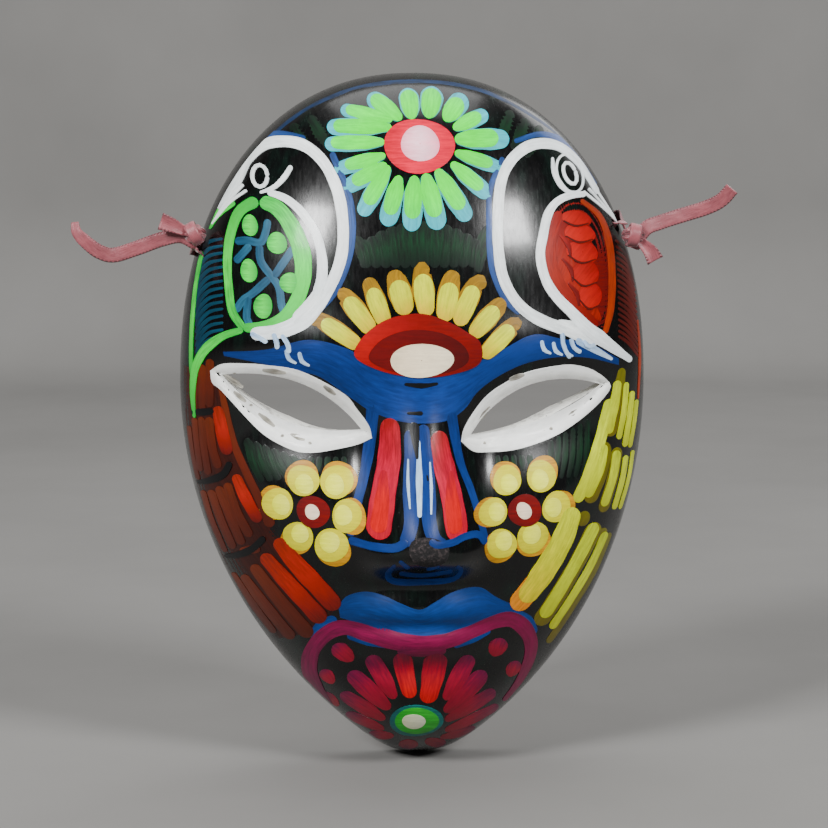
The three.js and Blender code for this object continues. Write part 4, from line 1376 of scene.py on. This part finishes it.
def paint_everything():
    """Lays every coat, and then makes a piece of each."""
    coats = {}

    def coat(name, colours, **options):
        """A new coat of paint. Its colours run from a stroke's start to its end."""
        coats[name] = Coat(name, paint(f"{name}_paint", colours, **options))
        return coats[name]

    paint_green_ground(coat("dark_green_ground", [(2, 36, 24), (2, 58, 34), (2, 28, 20)], streaks=0.8))
    rim_blue = coat("rim_line", [(20, 46, 78), (36, 66, 104)], streaks=0.6)
    paint_forehead_flower(
        coat("forehead_petals", [(88, 240, 100), GREEN, (70, 236, 60)], streaks=0.2),
        coat("forehead_petal_shades", [PALE_BLUE, (90, 175, 160)]),
        coat("forehead_ring", [(204, 4, 62), (224, 10, 78), (214, 6, 70)]),
        coat("forehead_centre", [(255, 176, 192), (255, 208, 218), (255, 170, 188)], streaks=0.12),
        rim_blue)
    paint_sun(coat("sun_rays", [(214, 222, 0), (216, 218, 0), (208, 180, 0)]),
              coat("sun_ray_shades", [(150, 118, 0), (184, 144, 0)]),
              coat("sun_disc", [(190, 34, 0), (140, 6, 0), (128, 4, 0)]),
              coat("sun_deep", [(116, 4, 0), (88, 2, 0)]),
              coat("sun_centre", [(245, 228, 200), (250, 238, 212)], streaks=0.12))
    blue = coat("blue_face_paint", [BLUE, (26, 62, 126), (30, 68, 134), BLUE], streaks=0.3)
    paint_brow(blue)
    # Pale blue paint for the birds' feet, also laid as painted highlights on the brow and the ridge of the
    # nose.
    pale = coat("pale_blue_marks", [(176, 205, 238), (205, 226, 246)])
    paint_brow_shines(pale)
    dark = coat("black_marks", [(8, 9, 12), (12, 13, 16)], streaks=0.1)
    paint_slots(dark)
    paint_nose(coat("nose_sides", [(160, 0, 34), (206, 10, 76), (200, 4, 60)]),
               coat("nose_reds", [(184, 2, 60), (208, 0, 46), (212, 0, 46)]), blue, pale, dark)
    cheek = (coat("cheek_petal_shades", [(190, 142, 0), (214, 164, 0)]),
             coat("cheek_petals", [(214, 208, 0), (220, 214, 0)], streaks=0.14),
             coat("cheek_petal_lights", [(240, 244, 80), (244, 246, 130)], streaks=0.12),
             coat("cheek_centres", [(110, 6, 8), (128, 12, 12)]),
             coat("cheek_dots", [(246, 222, 196), (250, 232, 212)], streaks=0.12))
    for name in CHEEKS:
        paint_cheek(CHEEKS[name], *cheek)
    rims = coat("eye_rims", [(244, 245, 242), (252, 253, 251), (242, 243, 240)], streaks=0.1)
    for name in EYE_RIMS:
        paint_eye_rim(name, rims)
    paint_grime(coat("eye_grime", [(206, 204, 196), (158, 154, 144), (204, 201, 192)], streaks=0.6))
    paint_left_bars(coat("left_bar_ground", [(74, 26, 12), (56, 18, 8)], streaks=0.5),
                    coat("left_brown_bars", [(112, 50, 14), (100, 40, 12), (84, 32, 10)]),
                    coat("left_orange_bars", [(150, 50, 10), (176, 50, 6), (104, 26, 6)]), dark)
    paint_right_bars(coat("right_lime_bars", [(204, 216, 20), (216, 226, 10), (190, 196, 8)]),
                     coat("right_olive_bars", [(126, 122, 14), (112, 102, 10)]),
                     coat("right_yellow_bar", [(220, 228, 0), (224, 226, 0), (222, 204, 0)]),
                     coat("right_mustard", [(214, 150, 0), (220, 146, 0)]))
    paint_mouth(coat("lips", [(20, 62, 120), (26, 70, 132), (24, 64, 128)], streaks=0.3),
                coat("magenta_band", [(112, 20, 70), (134, 22, 76), (124, 20, 72)], streaks=0.35))
    paint_chin(coat("chin_petals", [(112, 20, 70), (152, 4, 58), (140, 2, 48)]),
               coat("chin_red_petals", [(124, 14, 60), (160, 4, 44), (190, 0, 26)]),
               coat("chin_teal", [(20, 110, 110), (36, 132, 130)]),
               coat("chin_green", [(78, 190, 80), (92, 204, 92)]),
               coat("chin_centre", [(236, 240, 206), (244, 246, 224)], streaks=0.1))
    bird_white = coat("bird_white", [(238, 244, 244), (250, 254, 254), (240, 246, 248)], streaks=0.2)
    shadow = coat("bird_blue_shadows", [(36, 72, 124), (60, 92, 150), (34, 68, 120)], streaks=0.45)
    paint_left_bird(bird_white, coat("left_wing_green", [(74, 196, 92), (100, 234, 106), (70, 188, 88)]),
                    coat("left_wing_veins", [(44, 88, 114), (62, 112, 136)]),
                    coat("left_hatching", [(24, 58, 76), (38, 80, 98)]), shadow, pale)
    paint_right_bird(bird_white, coat("right_wing_ground", [(150, 36, 14), (110, 20, 6)], streaks=0.5),
                     coat("right_wing_salmon", [(150, 38, 12), (160, 50, 24), (132, 26, 6)]),
                     coat("right_hatching", [(84, 22, 12), (100, 28, 14)]),
                     coat("right_wing_orange", [(190, 50, 8), (164, 34, 4)]), shadow, pale,
                     coat("right_orange_edge", [(150, 58, 20), (166, 66, 24)]))
    coats["nose_chip"] = Coat("nose_chip", crumbled_clay())
    paint_chip(coats["nose_chip"])
    for each in coats.values():
        each.dry()


def add_ribbons():
    material = satin()
    for name, tie in TIES.items():
        add_loop(name, tie, material)
        knot, stub = add_knot(name, tie, material), add_stub(name, tie, material)
        add_tail(name, tie, material)


add_camera()
add_ribbons()
add_lights()
add_floor(floor_material())
add_shell(varnish(), bare_clay(), eye_white())
paint_everything()
